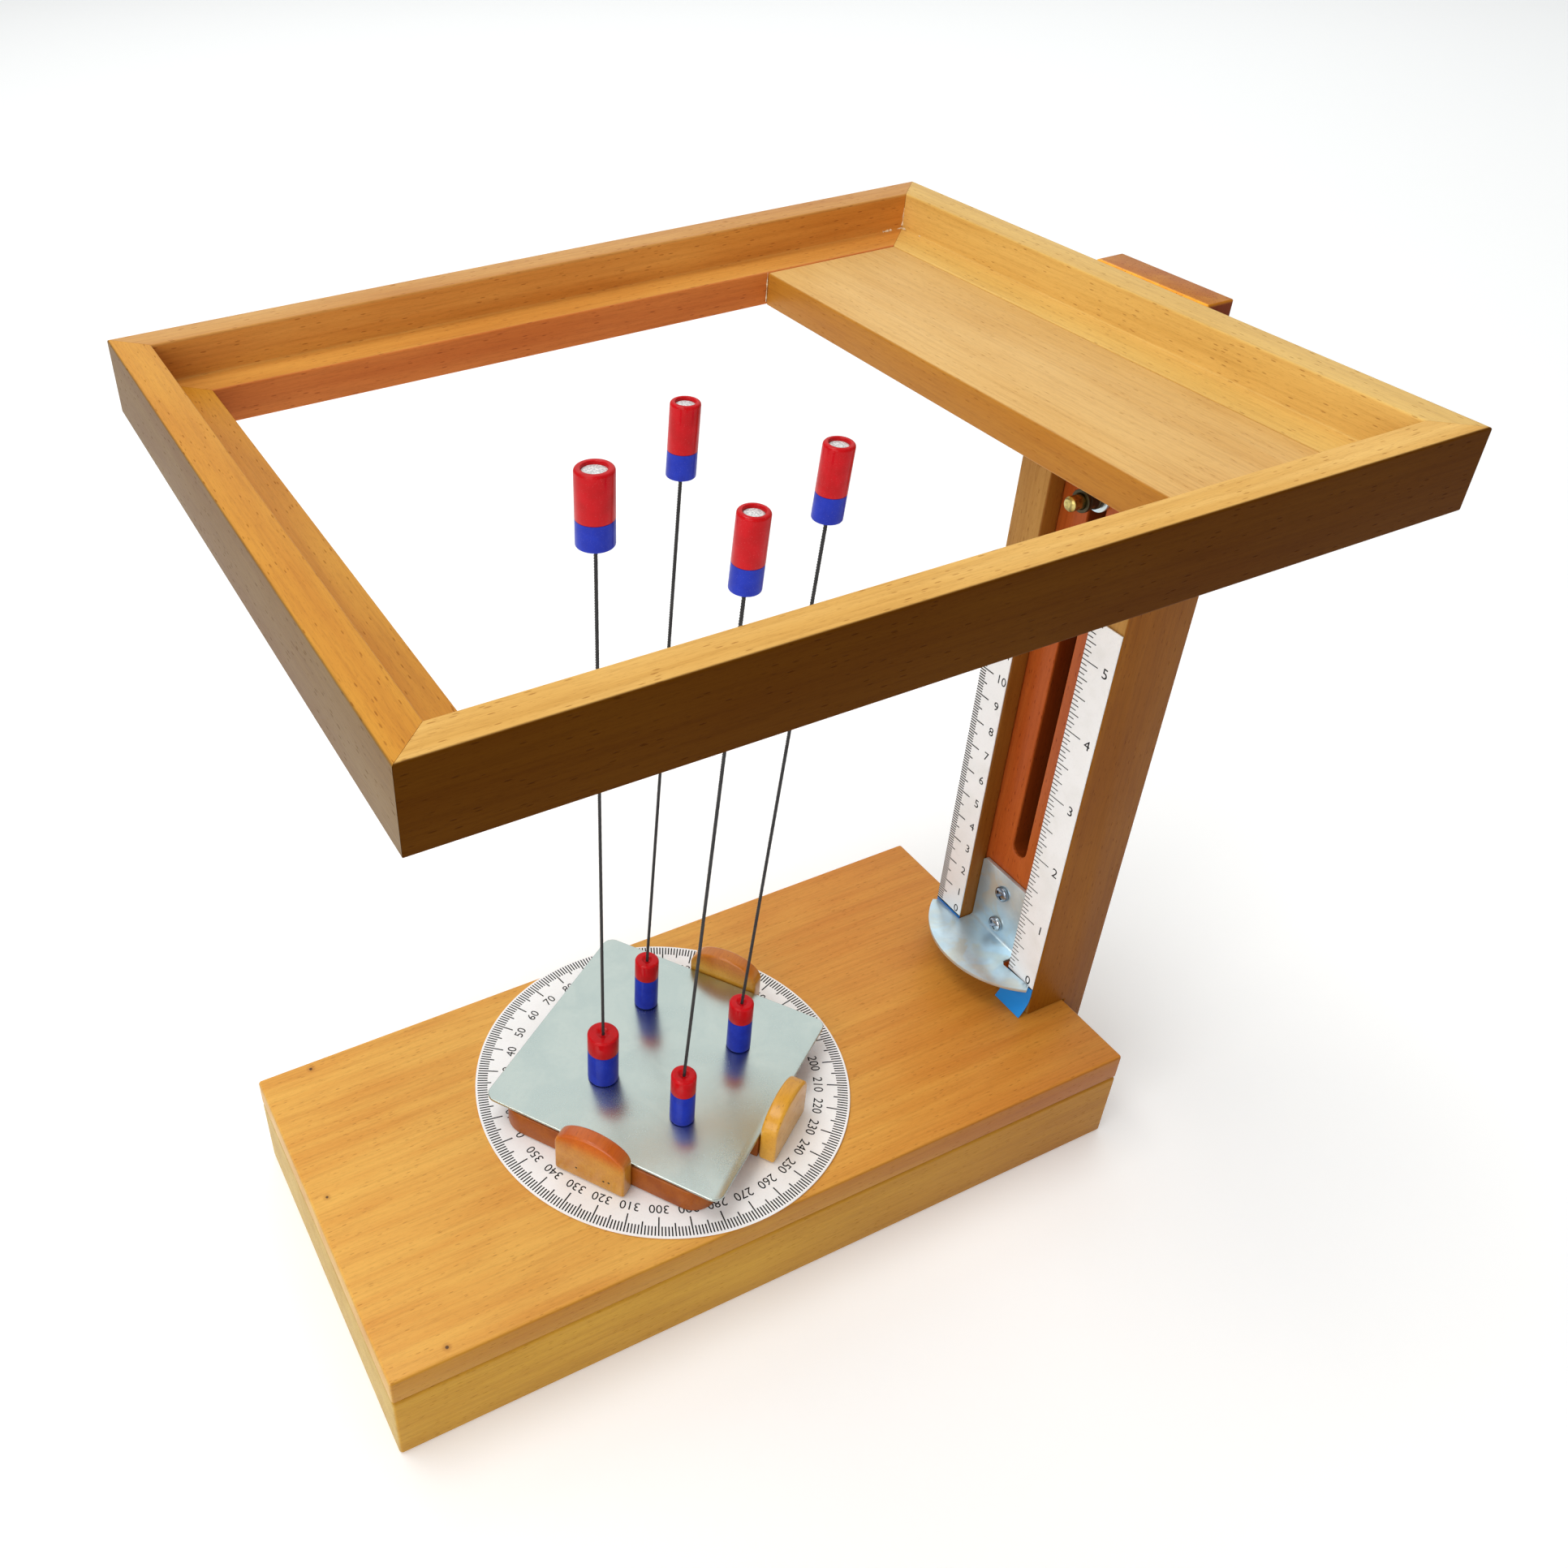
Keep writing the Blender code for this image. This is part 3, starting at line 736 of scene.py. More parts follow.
class Growth(NodeTree):
    """A geometry node tree under construction, with named inputs."""

    def __init__(self, name: str, **sizes: float) -> None:
        """Start a tree; a whole number becomes a whole-number input."""
        super().__init__(bpy.data.node_groups.new(name, "GeometryNodeTree"))
        self.sizes = sizes
        sockets = self.tree.interface
        sockets.new_socket("Shape", in_out="OUTPUT", socket_type="NodeSocketGeometry")
        self.keys: dict[str, str] = {}
        for label, value in sizes.items():
            kind = "NodeSocketInt" if isinstance(value, int) else "NodeSocketFloat"
            self.keys[label] = sockets.new_socket(label, in_out="INPUT", socket_type=kind).identifier
        finish = sockets.new_socket("finish", in_out="INPUT", socket_type="NodeSocketMaterial")
        self.keys["finish"] = finish.identifier
        self.entry = self.tree.nodes.new("NodeGroupInput")

    def size(self, label: str) -> Signal:
        """One of the named inputs."""
        return Signal(self, self.entry.outputs[label])

    def vector(self, x: Any = 0.0, y: Any = 0.0, z: Any = 0.0) -> Signal:
        """A vector of three values."""
        return self.node("ShaderNodeCombineXYZ", {0: x, 1: y, 2: z})

    def index(self) -> Signal:
        """Number of each point."""
        return self.node("GeometryNodeInputIndex")

    def grow(self, shape: Signal, finish: bpy.types.Material, place: Matrix) -> bpy.types.Mesh:
        """Realize the shape, paint it and turn it into a plain mesh.

        Args:
            shape: the geometry to end with.
            finish: its material.
            place: where the mesh goes.

        Returns:
            The mesh, in place.
        """
        real = self.node("GeometryNodeRealizeInstances", {0: shape})
        painted = self.node("GeometryNodeSetMaterial", {"Geometry": real,
                            "Material": self.size("finish")})
        last = self.tree.nodes.new("NodeGroupOutput")
        self.feed(last.inputs["Shape"], painted)
        carrier = bpy.data.objects.new("carrier", bpy.data.meshes.new("carrier"))
        modifier = carrier.modifiers.new("growth", "NODES")
        modifier.node_group = self.tree
        for label, value in self.sizes.items():
            modifier[self.keys[label]] = value
        modifier[self.keys["finish"]] = finish
        mesh = Workshop.evaluated(carrier)
        mesh.transform(place)
        return mesh


@dataclass(frozen=True)
class Graduation:
    """Printed marks whose length grows at every so many marks."""

    count: int
    short: float
    tiers: tuple[tuple[int, float], ...]
    width: float
    height: float = HAIR

    def marks(self, tree: Growth, where: Callable[[Signal, Signal], tuple[Signal, Signal, Signal]],
              finish: bpy.types.Material) -> bpy.types.Mesh:
        """Instance one bar for each mark.

        Args:
            tree: the tree, with count, short, width and height inputs.
            where: gives each mark's position, turn and scale from its number and length.
            finish: the ink.

        Returns:
            The marks as one mesh.
        """
        number = tree.index()
        length = tree.size("short")
        for every, extra in self.tiers:
            length = length + ((number % every) < 0.5) * extra
        position, turn, scale = where(number, length)
        points = tree.node("GeometryNodePoints", {"Count": tree.size("count"), "Position": position})
        bar = tree.node("GeometryNodeMeshCube")
        tree.feed(bar.socket.node.inputs["Size"], (1.0, 1.0, 1.0))
        marks = tree.node("GeometryNodeInstanceOnPoints", {"Points": points, "Instance": bar,
                          "Rotation": turn, "Scale": scale})
        return tree.grow(marks, finish, Matrix.Identity(4))

    def ring(self, centre: Vector, rim: float, finish: bpy.types.Material) -> bpy.types.Mesh:
        """Marks round a rim, from -X and clockwise seen from above."""
        tree = Growth("ring_marks", count=self.count, short=self.short, width=self.width,
                      height=self.height, rim=rim)

        def where(number: Signal, length: Signal) -> tuple[Signal, Signal, Signal]:
            """Place of one mark on the ring."""
            angle = math.pi - number * (2 * math.pi / self.count)
            radius = tree.size("rim") - length * 0.5
            spot = tree.vector(radius * angle.cosine() + centre.x, radius * angle.sine() + centre.y,
                               tree.size("height") * 0.5 + centre.z)
            turn = tree.node("FunctionNodeEulerToRotation", {0: tree.vector(z=angle)})
            return spot, turn, tree.vector(length, tree.size("width"), tree.size("height"))

        return self.marks(tree, where, finish)

    def ladder(self, foot: Vector, pitch: float, finish: bpy.types.Material) -> bpy.types.Mesh:
        """Marks up a left edge, running toward -Y.

        Args:
            foot: where the zero mark meets the edge, on the strip's face.
            pitch: distance between marks.
            finish: the ink.

        Returns:
            The marks as one mesh.
        """
        tree = Growth("ladder_marks", count=self.count, short=self.short, width=self.width,
                      height=self.height, pitch=pitch)

        def where(number: Signal, length: Signal) -> tuple[Signal, Signal, Signal]:
            """Place of one mark on the ladder."""
            spot = tree.vector(foot.x - tree.size("height") * 0.5, length * -0.5 + foot.y,
                               number * tree.size("pitch") + foot.z)
            turn = tree.node("FunctionNodeEulerToRotation", {0: tree.vector()})
            return spot, turn, tree.vector(tree.size("height"), length, tree.size("width"))

        return self.marks(tree, where, finish)


@dataclass(frozen=True)
class Cordage:
    """Three-ply thread laid in a long twist."""

    strand: float = 0.27 * MM
    lay: float = 2.4 * MM
    steps_per_turn: int = 7

    def spun(self, start: Vector, stop: Vector, finish: bpy.types.Material) -> bpy.types.Mesh:
        """Spin the thread straight between two points.

        Args:
            start: its lower end.
            stop: its upper end.
            finish: the yarn's material.

        Returns:
            The thread's mesh, in place.
        """
        run = stop - start
        turns = run.length / self.lay
        tree = Growth("three_ply", length=run.length, turns=turns, strand=self.strand,
                      steps=int(turns * self.steps_per_turn))
        line = tree.node("GeometryNodeCurvePrimitiveLine", {"End": tree.vector(z=tree.size("length"))})
        fine = tree.node("GeometryNodeResampleCurve", {"Curve": line, "Count": tree.size("steps")})
        along = tree.node("GeometryNodeSplineParameter")
        ring = tree.node("GeometryNodeCurvePrimitiveCircle", {"Resolution": 6,
                         "Radius": tree.size("strand")})
        bundle = tree.tree.nodes.new("GeometryNodeJoinGeometry")
        for ply in range(3):
            angle = along * tree.size("turns") * (2 * math.pi) + ply * 2 * math.pi / 3
            reach = tree.size("strand") * 1.02
            offset = tree.vector(angle.cosine() * reach, angle.sine() * reach)
            strand = tree.node("GeometryNodeSetPosition", {"Geometry": fine, "Offset": offset})
            solid = tree.node("GeometryNodeCurveToMesh", {"Curve": strand, "Profile Curve": ring,
                              "Fill Caps": True})
            tree.feed(bundle.inputs[0], solid)
        shape = Signal(tree, bundle.outputs[0])
        place = Matrix.Translation(start) @ run.to_track_quat("Z", "Y").to_matrix().to_4x4()
        return Workshop.smooth(tree.grow(shape, finish, place), 60)


@dataclass(frozen=True)
class GlueBead:
    """A thin uneven line of squeezed-out glue."""

    start: Vector
    stop: Vector
    radius: float = 0.35 * MM
    seed: float = 0.0

    def drawn(self, finish: bpy.types.Material) -> bpy.types.Mesh:
        """Draw the bead along its corner."""
        length = (self.stop - self.start).length
        tree = Growth("glue_bead", radius=self.radius, steps=max(8, int(length / (0.5 * MM))),
                      seed=self.seed)
        line = tree.node("GeometryNodeCurvePrimitiveLine", {"Start": tuple(self.start),
                         "End": tuple(self.stop)})
        fine = tree.node("GeometryNodeResampleCurve", {"Curve": line, "Count": tree.size("steps")})
        lumps = tree.node("ShaderNodeTexNoise", {"Scale": 420.0, "Detail": 2.0,
                          "W": tree.size("seed")}, noise_dimensions="4D")
        fat = tree.size("radius") * (0.15 + 1.9 * lumps.rise(0.38, 0.68))
        ring = tree.node("GeometryNodeCurvePrimitiveCircle", {"Resolution": 8, "Radius": 1.0})
        solid = tree.node("GeometryNodeCurveToMesh", {"Curve": fine, "Profile Curve": ring,
                          "Scale": fat, "Fill Caps": True})
        return Workshop.smooth(tree.grow(solid, finish, Matrix.Identity(4)), 60)


@dataclass
class Finishes:
    """Every finish of the stand, built once."""

    zinc: bpy.types.Material = field(init=False)
    steel: bpy.types.Material = field(init=False)
    screw: bpy.types.Material = field(init=False)
    brass: bpy.types.Material = field(init=False)
    bronze: bpy.types.Material = field(init=False)
    red: bpy.types.Material = field(init=False)
    blue: bpy.types.Material = field(init=False)
    core: bpy.types.Material = field(init=False)
    yarn: bpy.types.Material = field(init=False)
    ink: bpy.types.Material = field(init=False)
    glue: bpy.types.Material = field(init=False)
    dial: bpy.types.Material = field(init=False)

    def __post_init__(self) -> None:
        """Build the finishes that several sub-assemblies share."""
        self.zinc = Zinc("zinc_bracket", (0.68, 0.86, 0.96), (0.52, 0.70, 0.82), 0.36, 0.35,
                         metallic=0.7).build()
        self.steel = Zinc("steel_plate_face", (0.53, 0.59, 0.555), (0.48, 0.55, 0.525), 0.25, 0.0,
                          TURN_ANGLE, 2.0).build()
        self.screw = Zinc("screw_zinc", (0.50, 0.56, 0.62), (0.26, 0.30, 0.36), 0.22, 0.2,
                          seed=4.0).build()
        self.brass = Brass("brass_bolt", (0.60, 0.49, 0.17), (0.24, 0.19, 0.07), 0.40).build()
        self.bronze = Brass("bronze_nut", (0.26, 0.20, 0.08), (0.07, 0.06, 0.035), 0.60, 0.35).build()
        self.red = Gloss("red_cap_gloss", (0.58, 0.001, 0.006), (0.50, 0.001, 0.004)).build()
        self.blue = Gloss("blue_cap_gloss", (0.012, 0.035, 0.48), (0.010, 0.026, 0.40)).build()
        self.core = MagnetCore("magnet_core_face").build()
        self.yarn = Yarn("black_yarn").build()
        self.ink = Ink("black_ink").build()
        self.glue = Glue("dried_glue").build()
        self.dial = Card("dial_card", (0.97, 0.975, 0.98), soil=0.12).build()


@dataclass
class Base:
    """Two glued boards."""

    wear: float = 0.32 * MM
    top_pale: Colour = (0.81, 0.44, 0.088)
    top_deep: Colour = (0.70, 0.31, 0.050)
    low_pale: Colour = (0.60, 0.33, 0.032)
    low_deep: Colour = (0.50, 0.245, 0.020)
    # pin knots: in from the left end and from the near side, and radius
    pin_knots: tuple[tuple[float, float, float], ...] = (
        (17.6 * MM, 118.2 * MM, 0.40 * MM), (5.4 * MM, 66.8 * MM, 0.30 * MM),
        (19.0 * MM, 3.5 * MM, 0.40 * MM))
    # where the boards turn darker and redder toward the column, as a span along X
    heart_top: Point = (-20 * MM, 125 * MM)
    heart_low: Point = (-60 * MM, 125 * MM)

    def knots(self) -> tuple[Knot, ...]:
        """Pin knots in the top face."""
        low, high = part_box("base_upper_board")
        return tuple(Knot((low.x + along, low.y + across, high.z), radius)
                     for along, across, radius in self.pin_knots)

    def build(self) -> None:
        """Build both boards."""
        tonings = (Toning("X", *self.heart_top, (0.86, 0.66, 0.45)),
                   # painted shade: the near side face (-Y) of the top board is darkened
                   Toning.on_face("base_upper_board", "-Y", (0.62, 0.54, 0.20)),
                   # painted glare: the top board's left end face (-X) is made paler and greyer
                   Toning.on_face("base_upper_board", "-X", (0.85, 0.98, 1.38)))
        top = Beech("base_top_wood", self.top_pale, self.top_deep, seed=1.0, flecks=0.38,
                    knots=self.knots(), tonings=tonings, coat=0.08).build()
        tonings = (Toning("X", *self.heart_low, (0.80, 0.66, 0.50)),
                   # painted glare: the lower board's left end face (-X) is made paler and greyer
                   Toning.on_face("base_lower_board", "-X", (1.02, 1.33, 4.4)))
        low = Beech("base_low_wood", self.low_pale, self.low_deep, seed=2.0, flecks=0.40,
                    roughness=0.5, tonings=tonings).build()
        Workshop.piece("lower_board_worn", Workshop.refined("base_lower_board", self.wear), low,
                       "stand", "beech_pale", ["base_lower_board"])
        Workshop.piece("upper_board_worn", Workshop.refined("base_upper_board", self.wear), top,
                       "stand", "beech_top", ["base_upper_board"])


@dataclass
class Dial:
    """Round card with a mark at every degree and a number at every ten."""

    finishes: Finishes
    margin: float = 0.7 * MM
    short: float = 3.3 * MM
    middle: float = 1.3 * MM
    long: float = 2.0 * MM
    line: float = 0.42 * MM
    number_radius: float = 51.2 * MM
    number_size: float = 4.3 * MM
    step: int = 10
    bore: float = 3.3 * MM
    edge: float = 0.08 * MM

    def build(self) -> None:
        """Build the card, its print and the pivot."""
        low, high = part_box("dial_disc")
        centre = (low + high) / 2
        radius = (high.x - low.x) / 2
        thick = high.z - low.z
        rim, edge = radius - self.edge, self.edge
        profile = [(self.bore, 0), (rim, 0), (radius, edge), (radius, thick - edge), (rim, thick),
                   (self.bore, thick)]
        card = Workshop.lathe(profile, Matrix.Translation((centre.x, centre.y, low.z)), 180)
        Workshop.piece("dial_card_round", card, self.finishes.dial, "stand", "dial_print",
                       ["dial_disc"])
        face = Vector((centre.x, centre.y, high.z))
        marks = Graduation(360, self.short, ((5, self.middle), (10, self.long)), self.line)
        print_marks = marks.ring(face, radius - self.margin, self.finishes.ink)
        Workshop.piece("dial_marks", print_marks, self.finishes.ink, "stand", "dial_print")
        numbers = Workshop.lettering([(str(value), self.seat(face, value))
                                      for value in range(0, 360, self.step)], self.number_size)
        Workshop.piece("dial_numbers", numbers, self.finishes.ink, "stand", "dial_print")
        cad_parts["turntable_pivot"].data.materials[0] = self.finishes.screw

    def seat(self, face: Vector, value: int) -> Matrix:
        """Where a number stands: its top toward the rim."""
        angle = math.pi - math.radians(value)
        spot = face + Vector((math.cos(angle), math.sin(angle), 0)) * self.number_radius
        return (Matrix.Translation(spot + Vector((0, 0, HAIR / 2)))
                @ Matrix.Rotation(angle - math.pi / 2, 4, "Z"))


@dataclass
class ScaleStrip:
    """A printed strip on the front of a column rail."""

    node: str
    finishes: Finishes
    zero: float
    pitch: float
    unit: int
    units: int
    marks: Graduation
    number_inset: float
    number_size: float
    stand_out: float = 0.7 * MM
    zero_line: float = 0.5 * MM
    line_drop: float = 0.35 * MM

    def build(self) -> None:
        """Build the strip's film and print."""
        low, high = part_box(self.node)
        film = Card(self.node + "_film", blue_below=self.zero, roughness=0.3).build()
        Workshop.piece(self.node + "_strip", Workshop.refined(self.node, 0.06 * MM, 2), film,
                       "stand", "scale_print", [self.node])
        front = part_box("column_rail_left")[0].x - self.stand_out
        foot = Vector((front, high.y, self.zero))
        ladder = self.marks.ladder(foot, self.pitch, self.finishes.ink)
        Workshop.piece(self.node + "_marks", ladder, self.finishes.ink, "stand", "scale_print")
        wide, tall = high.y - low.y, self.zero_line
        start = Matrix.Translation((front - HAIR, low.y, self.zero - self.line_drop))
        bar = Workshop.slab([(0, 0), (wide, 0), (wide, tall), (0, tall)], HAIR, start @ STANDING)
        Workshop.piece(self.node + "_zero_line", bar, self.finishes.ink, "stand", "scale_print")
        words = []
        for value in range(self.units + 1):
            height = self.zero + value * self.unit * self.pitch + self.number_rise(value)
            spot = Matrix.Translation((front - HAIR / 2, low.y + self.number_inset, height))
            words.append((str(value), spot @ self.facing()))
        Workshop.piece(self.node + "_numbers", Workshop.lettering(words, self.number_size),
                       self.finishes.ink, "stand", "scale_print")

    def number_rise(self, value: int) -> float:
        """How far a number stands above its mark; only the zero stands on its line."""
        return self.number_size * (0.42 if value == 0 else -0.1)

    @staticmethod
    def facing() -> Matrix:
        """Type that faces -X and reads toward -Y."""
        return Matrix(((0, 0, -1, 0), (-1, 0, 0, 0), (0, 1, 0, 0), (0, 0, 0, 1)))


@dataclass
class Column:
    """Two grooved rails, the back board and the two scales."""

    finishes: Finishes
    wear: float = 0.45 * MM
    pale: Colour = (0.46, 0.245, 0.063)
    deep: Colour = (0.36, 0.167, 0.034)

    def build(self) -> None:
        """Build the column."""
        # painted shade: each rail's -Y face is darkened by these tones
        side_face_shade = {"left": (0.60, 0.42, 0.21), "right": (0.60, 0.39, 0.075)}
        for seed, side in enumerate(("left", "right")):
            node = f"column_rail_{side}"
            wood = Beech(node + "_wood", self.pale, self.deep, Grain.UPRIGHT, 5.0 + seed,
                         flecks=0.45, roughness=0.46, sheen=0.12, coat=0.0,
                         tonings=(Toning.on_face(node, "-Y", side_face_shade[side]),)).build()
            Workshop.piece(node + "_worn", Workshop.refined(node, self.wear), wood, "stand",
                           "beech_top", [node])
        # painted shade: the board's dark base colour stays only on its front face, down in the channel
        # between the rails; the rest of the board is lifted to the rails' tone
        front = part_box("column_back_board")[0].x
        lift_past_front_shade = Toning("X", front + 0.2 * MM, front + 1.2 * MM, (1.7, 2.2, 2.2))
        back = Beech("back_board_wood", (0.30, 0.12, 0.03), (0.22, 0.08, 0.018), Grain.UPRIGHT, 8.0,
                     tonings=(lift_past_front_shade,)).build()
        Workshop.piece("back_board_worn", Workshop.refined("column_back_board", self.wear), back,
                       "stand", "beech_top", ["column_back_board"])
        self.scales()
        radius, span, place = lying("clamp_bolt")
        face = [(0, 0), (radius, 0), (radius, span - 0.7 * MM), (radius - 0.5 * MM, span - 0.1 * MM),
                (radius - 0.8 * MM, span), (0, span)]
        bolt = Workshop.lathe(face, place, 40)
        Workshop.piece("clamp_bolt_turned", bolt, self.finishes.brass, "stand", "brass",
                       ["clamp_bolt"])

    def scales(self) -> None:
        """Build the centimetre and the inch scale."""
        centimetres = Graduation(140, 2.6 * MM, ((5, 1.4 * MM), (10, 2.0 * MM)), 0.44 * MM)
        ScaleStrip("scale_cm", self.finishes, 52.4 * MM, 1 * MM, 10, 13, centimetres,
                   2.3 * MM, 4.5 * MM).build()
        inches = Graduation(89, 2.2 * MM, ((2, 0.7 * MM), (4, 0.9 * MM), (8, 1.0 * MM),
                                           (16, 1.6 * MM)), 0.32 * MM)
        ScaleStrip("scale_inch", self.finishes, 51.0 * MM, 25.4 * MM / 16, 16, 5, inches,
                   2.7 * MM, 4.9 * MM).build()


def rounded_rectangle(x0: float, x1: float, y0: float, y1: float, corner: float,
                      steps: int = 10) -> list[Point]:
    """Outline of a rectangle with round corners."""
    hubs = ((x1 - corner, y1 - corner), (x0 + corner, y1 - corner), (x0 + corner, y0 + corner),
            (x1 - corner, y0 + corner))
    outline = []
    for quarter, (x, y) in enumerate(hubs):
        for k in range(steps + 1):
            angle = (quarter + k / steps) * math.pi / 2
            outline.append((x + corner * math.cos(angle), y + corner * math.sin(angle)))
    return outline


def lying(node: str) -> tuple[float, float, Matrix]:
    """Radius, length and lathe place of a turned node that lies along X, from its back end."""
    low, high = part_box(node)
    spot = Matrix.Translation((high.x, (low.y + high.y) / 2, (low.z + high.z) / 2))
    return (high.y - low.y) / 2, high.x - low.x, spot @ Matrix.Rotation(math.radians(-90), 4, "Y")


@dataclass
class Clamp:
    """Thumb nut and washer on the bolt."""

    finishes: Finishes
    bore: float = 2.35 * MM
    ribs: int = 36

    def build(self) -> None:
        """Build the nut and the washer."""
        bore = self.bore
        radius, length, place = lying("clamp_nut")
        outline = [(bore, 0), (radius, 0), (radius, 1.2 * MM), (radius - 0.3 * MM, 1.5 * MM),
                   (radius - 0.3 * MM, length - 1.5 * MM), (radius, length - 1.2 * MM),
                   (radius, length), (bore, length)]
        nut = Workshop.lathe(Workshop.fillet(outline, 0.25 * MM, 3), place, 2 * self.ribs)
        Workshop.piece("clamp_nut_turned", nut, self.finishes.bronze, "clamp", "brass", ["clamp_nut"])
        radius, thick, place = lying("clamp_washer")
        flat = [(bore, 0), (radius, 0), (radius, thick), (bore, thick)]
        washer = Workshop.lathe(Workshop.fillet(flat, 0.2 * MM, 2), place, 48)
        Workshop.piece("clamp_washer_turned", washer, self.finishes.zinc, "clamp", "zinc",
                       ["clamp_washer"])


@dataclass(frozen=True)
class Lug:
    """Where one lug stands round the block, in the block's turned axes, and its wood."""

    node: str
    side: float
    reach: float
    shift: float
    pale: Colour
    deep: Colour
    crown: Colour


@dataclass
class Turntable:
    """Block with round corners and its three lugs."""

    finishes: Finishes
    lug_half: float = 12.2 * MM
    lug_thick: float = 5.4 * MM
    shoulder: float = 12.3 * MM
    crown: float = 7.0 * MM
    block: tuple[float, float, float] = (-42.6 * MM, 41.2 * MM, 36.5 * MM)
    corner: float = 8 * MM
    crown_band: Point = (10.6 * MM, 17.6 * MM)
    brad_places: tuple[Point, ...] = ((7.0 * MM, 4.4 * MM), (5.2 * MM, 4.0 * MM), (-4.4 * MM, 4.6 * MM))
    lugs: tuple[Lug, ...] = (
        Lug("lug_left", 180.0, 42.9 * MM, -0.3 * MM, (0.63, 0.295, 0.024), (0.51, 0.185, 0.012),
            (0.99, 0.475, 0.44)),
        Lug("lug_right", 270.0, 41.0 * MM, -1.6 * MM, (0.81, 0.43, 0.045), (0.68, 0.31, 0.024),
            (1.0, 1.0, 0.9)),
        Lug("lug_far", 0.0, 41.5 * MM, -2.0 * MM, (0.70, 0.375, 0.047), (0.58, 0.25, 0.023),
            (0.81, 0.50, 0.25)),
    )

    def place(self, z: float) -> Matrix:
        """The turned axes of the block, at a height."""
        low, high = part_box("turntable_pivot")
        hub = Matrix.Translation(((low.x + high.x) / 2, (low.y + high.y) / 2, z))
        return hub @ Matrix.Rotation(TURN_ANGLE, 4, "Z")

    def build(self) -> None:
        """Build the block and the lugs."""
        low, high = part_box("turntable_block")
        left, right, half = self.block
        outline = rounded_rectangle(left, right, -half, half, self.corner)
        wood = Beech("block_wood", (0.385, 0.10, 0.004), (0.275, 0.056, 0.002), Grain.TURNED, 11.0,
                     flecks=0.5, coat=0.3, sheen=0.12).build()
        block = Workshop.worn(Workshop.slab(outline, high.z - low.z, self.place(low.z)), 0.5 * MM, 3)
        Workshop.piece("turntable_block_worn", block, wood, "turntable", "beech_red",
                       ["turntable_block"])
        spacer = Workshop.refined("lug_spacer", 0.3 * MM, 2)
        Workshop.piece("lug_spacer_worn", spacer, wood, "turntable", "beech_red", ["lug_spacer"])
        start, stop = (low.z + rise for rise in self.crown_band)
        for seed, lug in enumerate(self.lugs):
            crown = Toning("Z", start, stop, lug.crown)
            varnish = Beech(lug.node + "_wood", lug.pale, lug.deep, Grain.TURNED, 13.0 + seed,
                            flecks=0.45, roughness=0.28, coat=0.6, sheen=0.15, tonings=(crown,))
            self.arch(lug, varnish.build())
        self.brads()

    def arch(self, lug: Lug, wood: bpy.types.Material) -> None:
        """Build one lug: straight sides under a low arch."""
        outline = [(-self.lug_half, 0.0), (self.lug_half, 0.0)]
        for k in range(33):
            a = math.pi * k / 32
            outline.append((self.lug_half * math.cos(a), self.shoulder + self.crown * math.sin(a)))
        slab = Workshop.slab(outline, self.lug_thick, self.lug_place(lug))
        Workshop.piece(lug.node + "_worn", Workshop.worn(slab, 0.9 * MM, 4), wood, "turntable",
                       "beech_top", [lug.node])

    def lug_place(self, lug: Lug) -> Matrix:
        """Where a lug's outline stands: on its edge against a side of the block."""
        turn = Matrix.Rotation(math.radians(lug.side), 4, "Z")
        out = Matrix.Translation((lug.reach, lug.shift, 0))
        return self.place(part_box("turntable_block")[0].z) @ turn @ out @ STANDING

    def brads(self) -> None:
        """Heads of the three brads through the left lug, set just below its face."""
        place = self.lug_place(self.lugs[0])
        heads = []
        for across, up in self.brad_places:
            spot = place @ Matrix.Translation((across, up, self.lug_thick - 0.05 * MM))
            heads.append(Workshop.lathe([(0, -1 * MM), (0.38 * MM, -1 * MM), (0.38 * MM, 0.05 * MM),
                                         (0.25 * MM, 0.12 * MM), (0, 0.13 * MM)], spot, 14))
        Workshop.piece("lug_brads", Workshop.joined(heads), self.finishes.bronze, "turntable",
                       "beech_top")


@dataclass
class Plate:
    """Square steel plate with eased edges and corners."""

    finishes: Finishes
    half: float = 41.4 * MM
    corner: float = 3.6 * MM
    shift: Point = (-0.7 * MM, 0.7 * MM)

    def build(self) -> None:
        """Build the plate."""
        low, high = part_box("steel_plate")
        table = Turntable(self.finishes)
        x, y = self.shift
        outline = rounded_rectangle(x - self.half, x + self.half, y - self.half, y + self.half,
                                    self.corner)
        mesh = Workshop.slab(outline, high.z - low.z, table.place(low.z))
        Workshop.piece("steel_plate_eased", Workshop.worn(mesh, 0.22 * MM, 3), self.finishes.steel,
                       "plate", "zinc", ["steel_plate"])


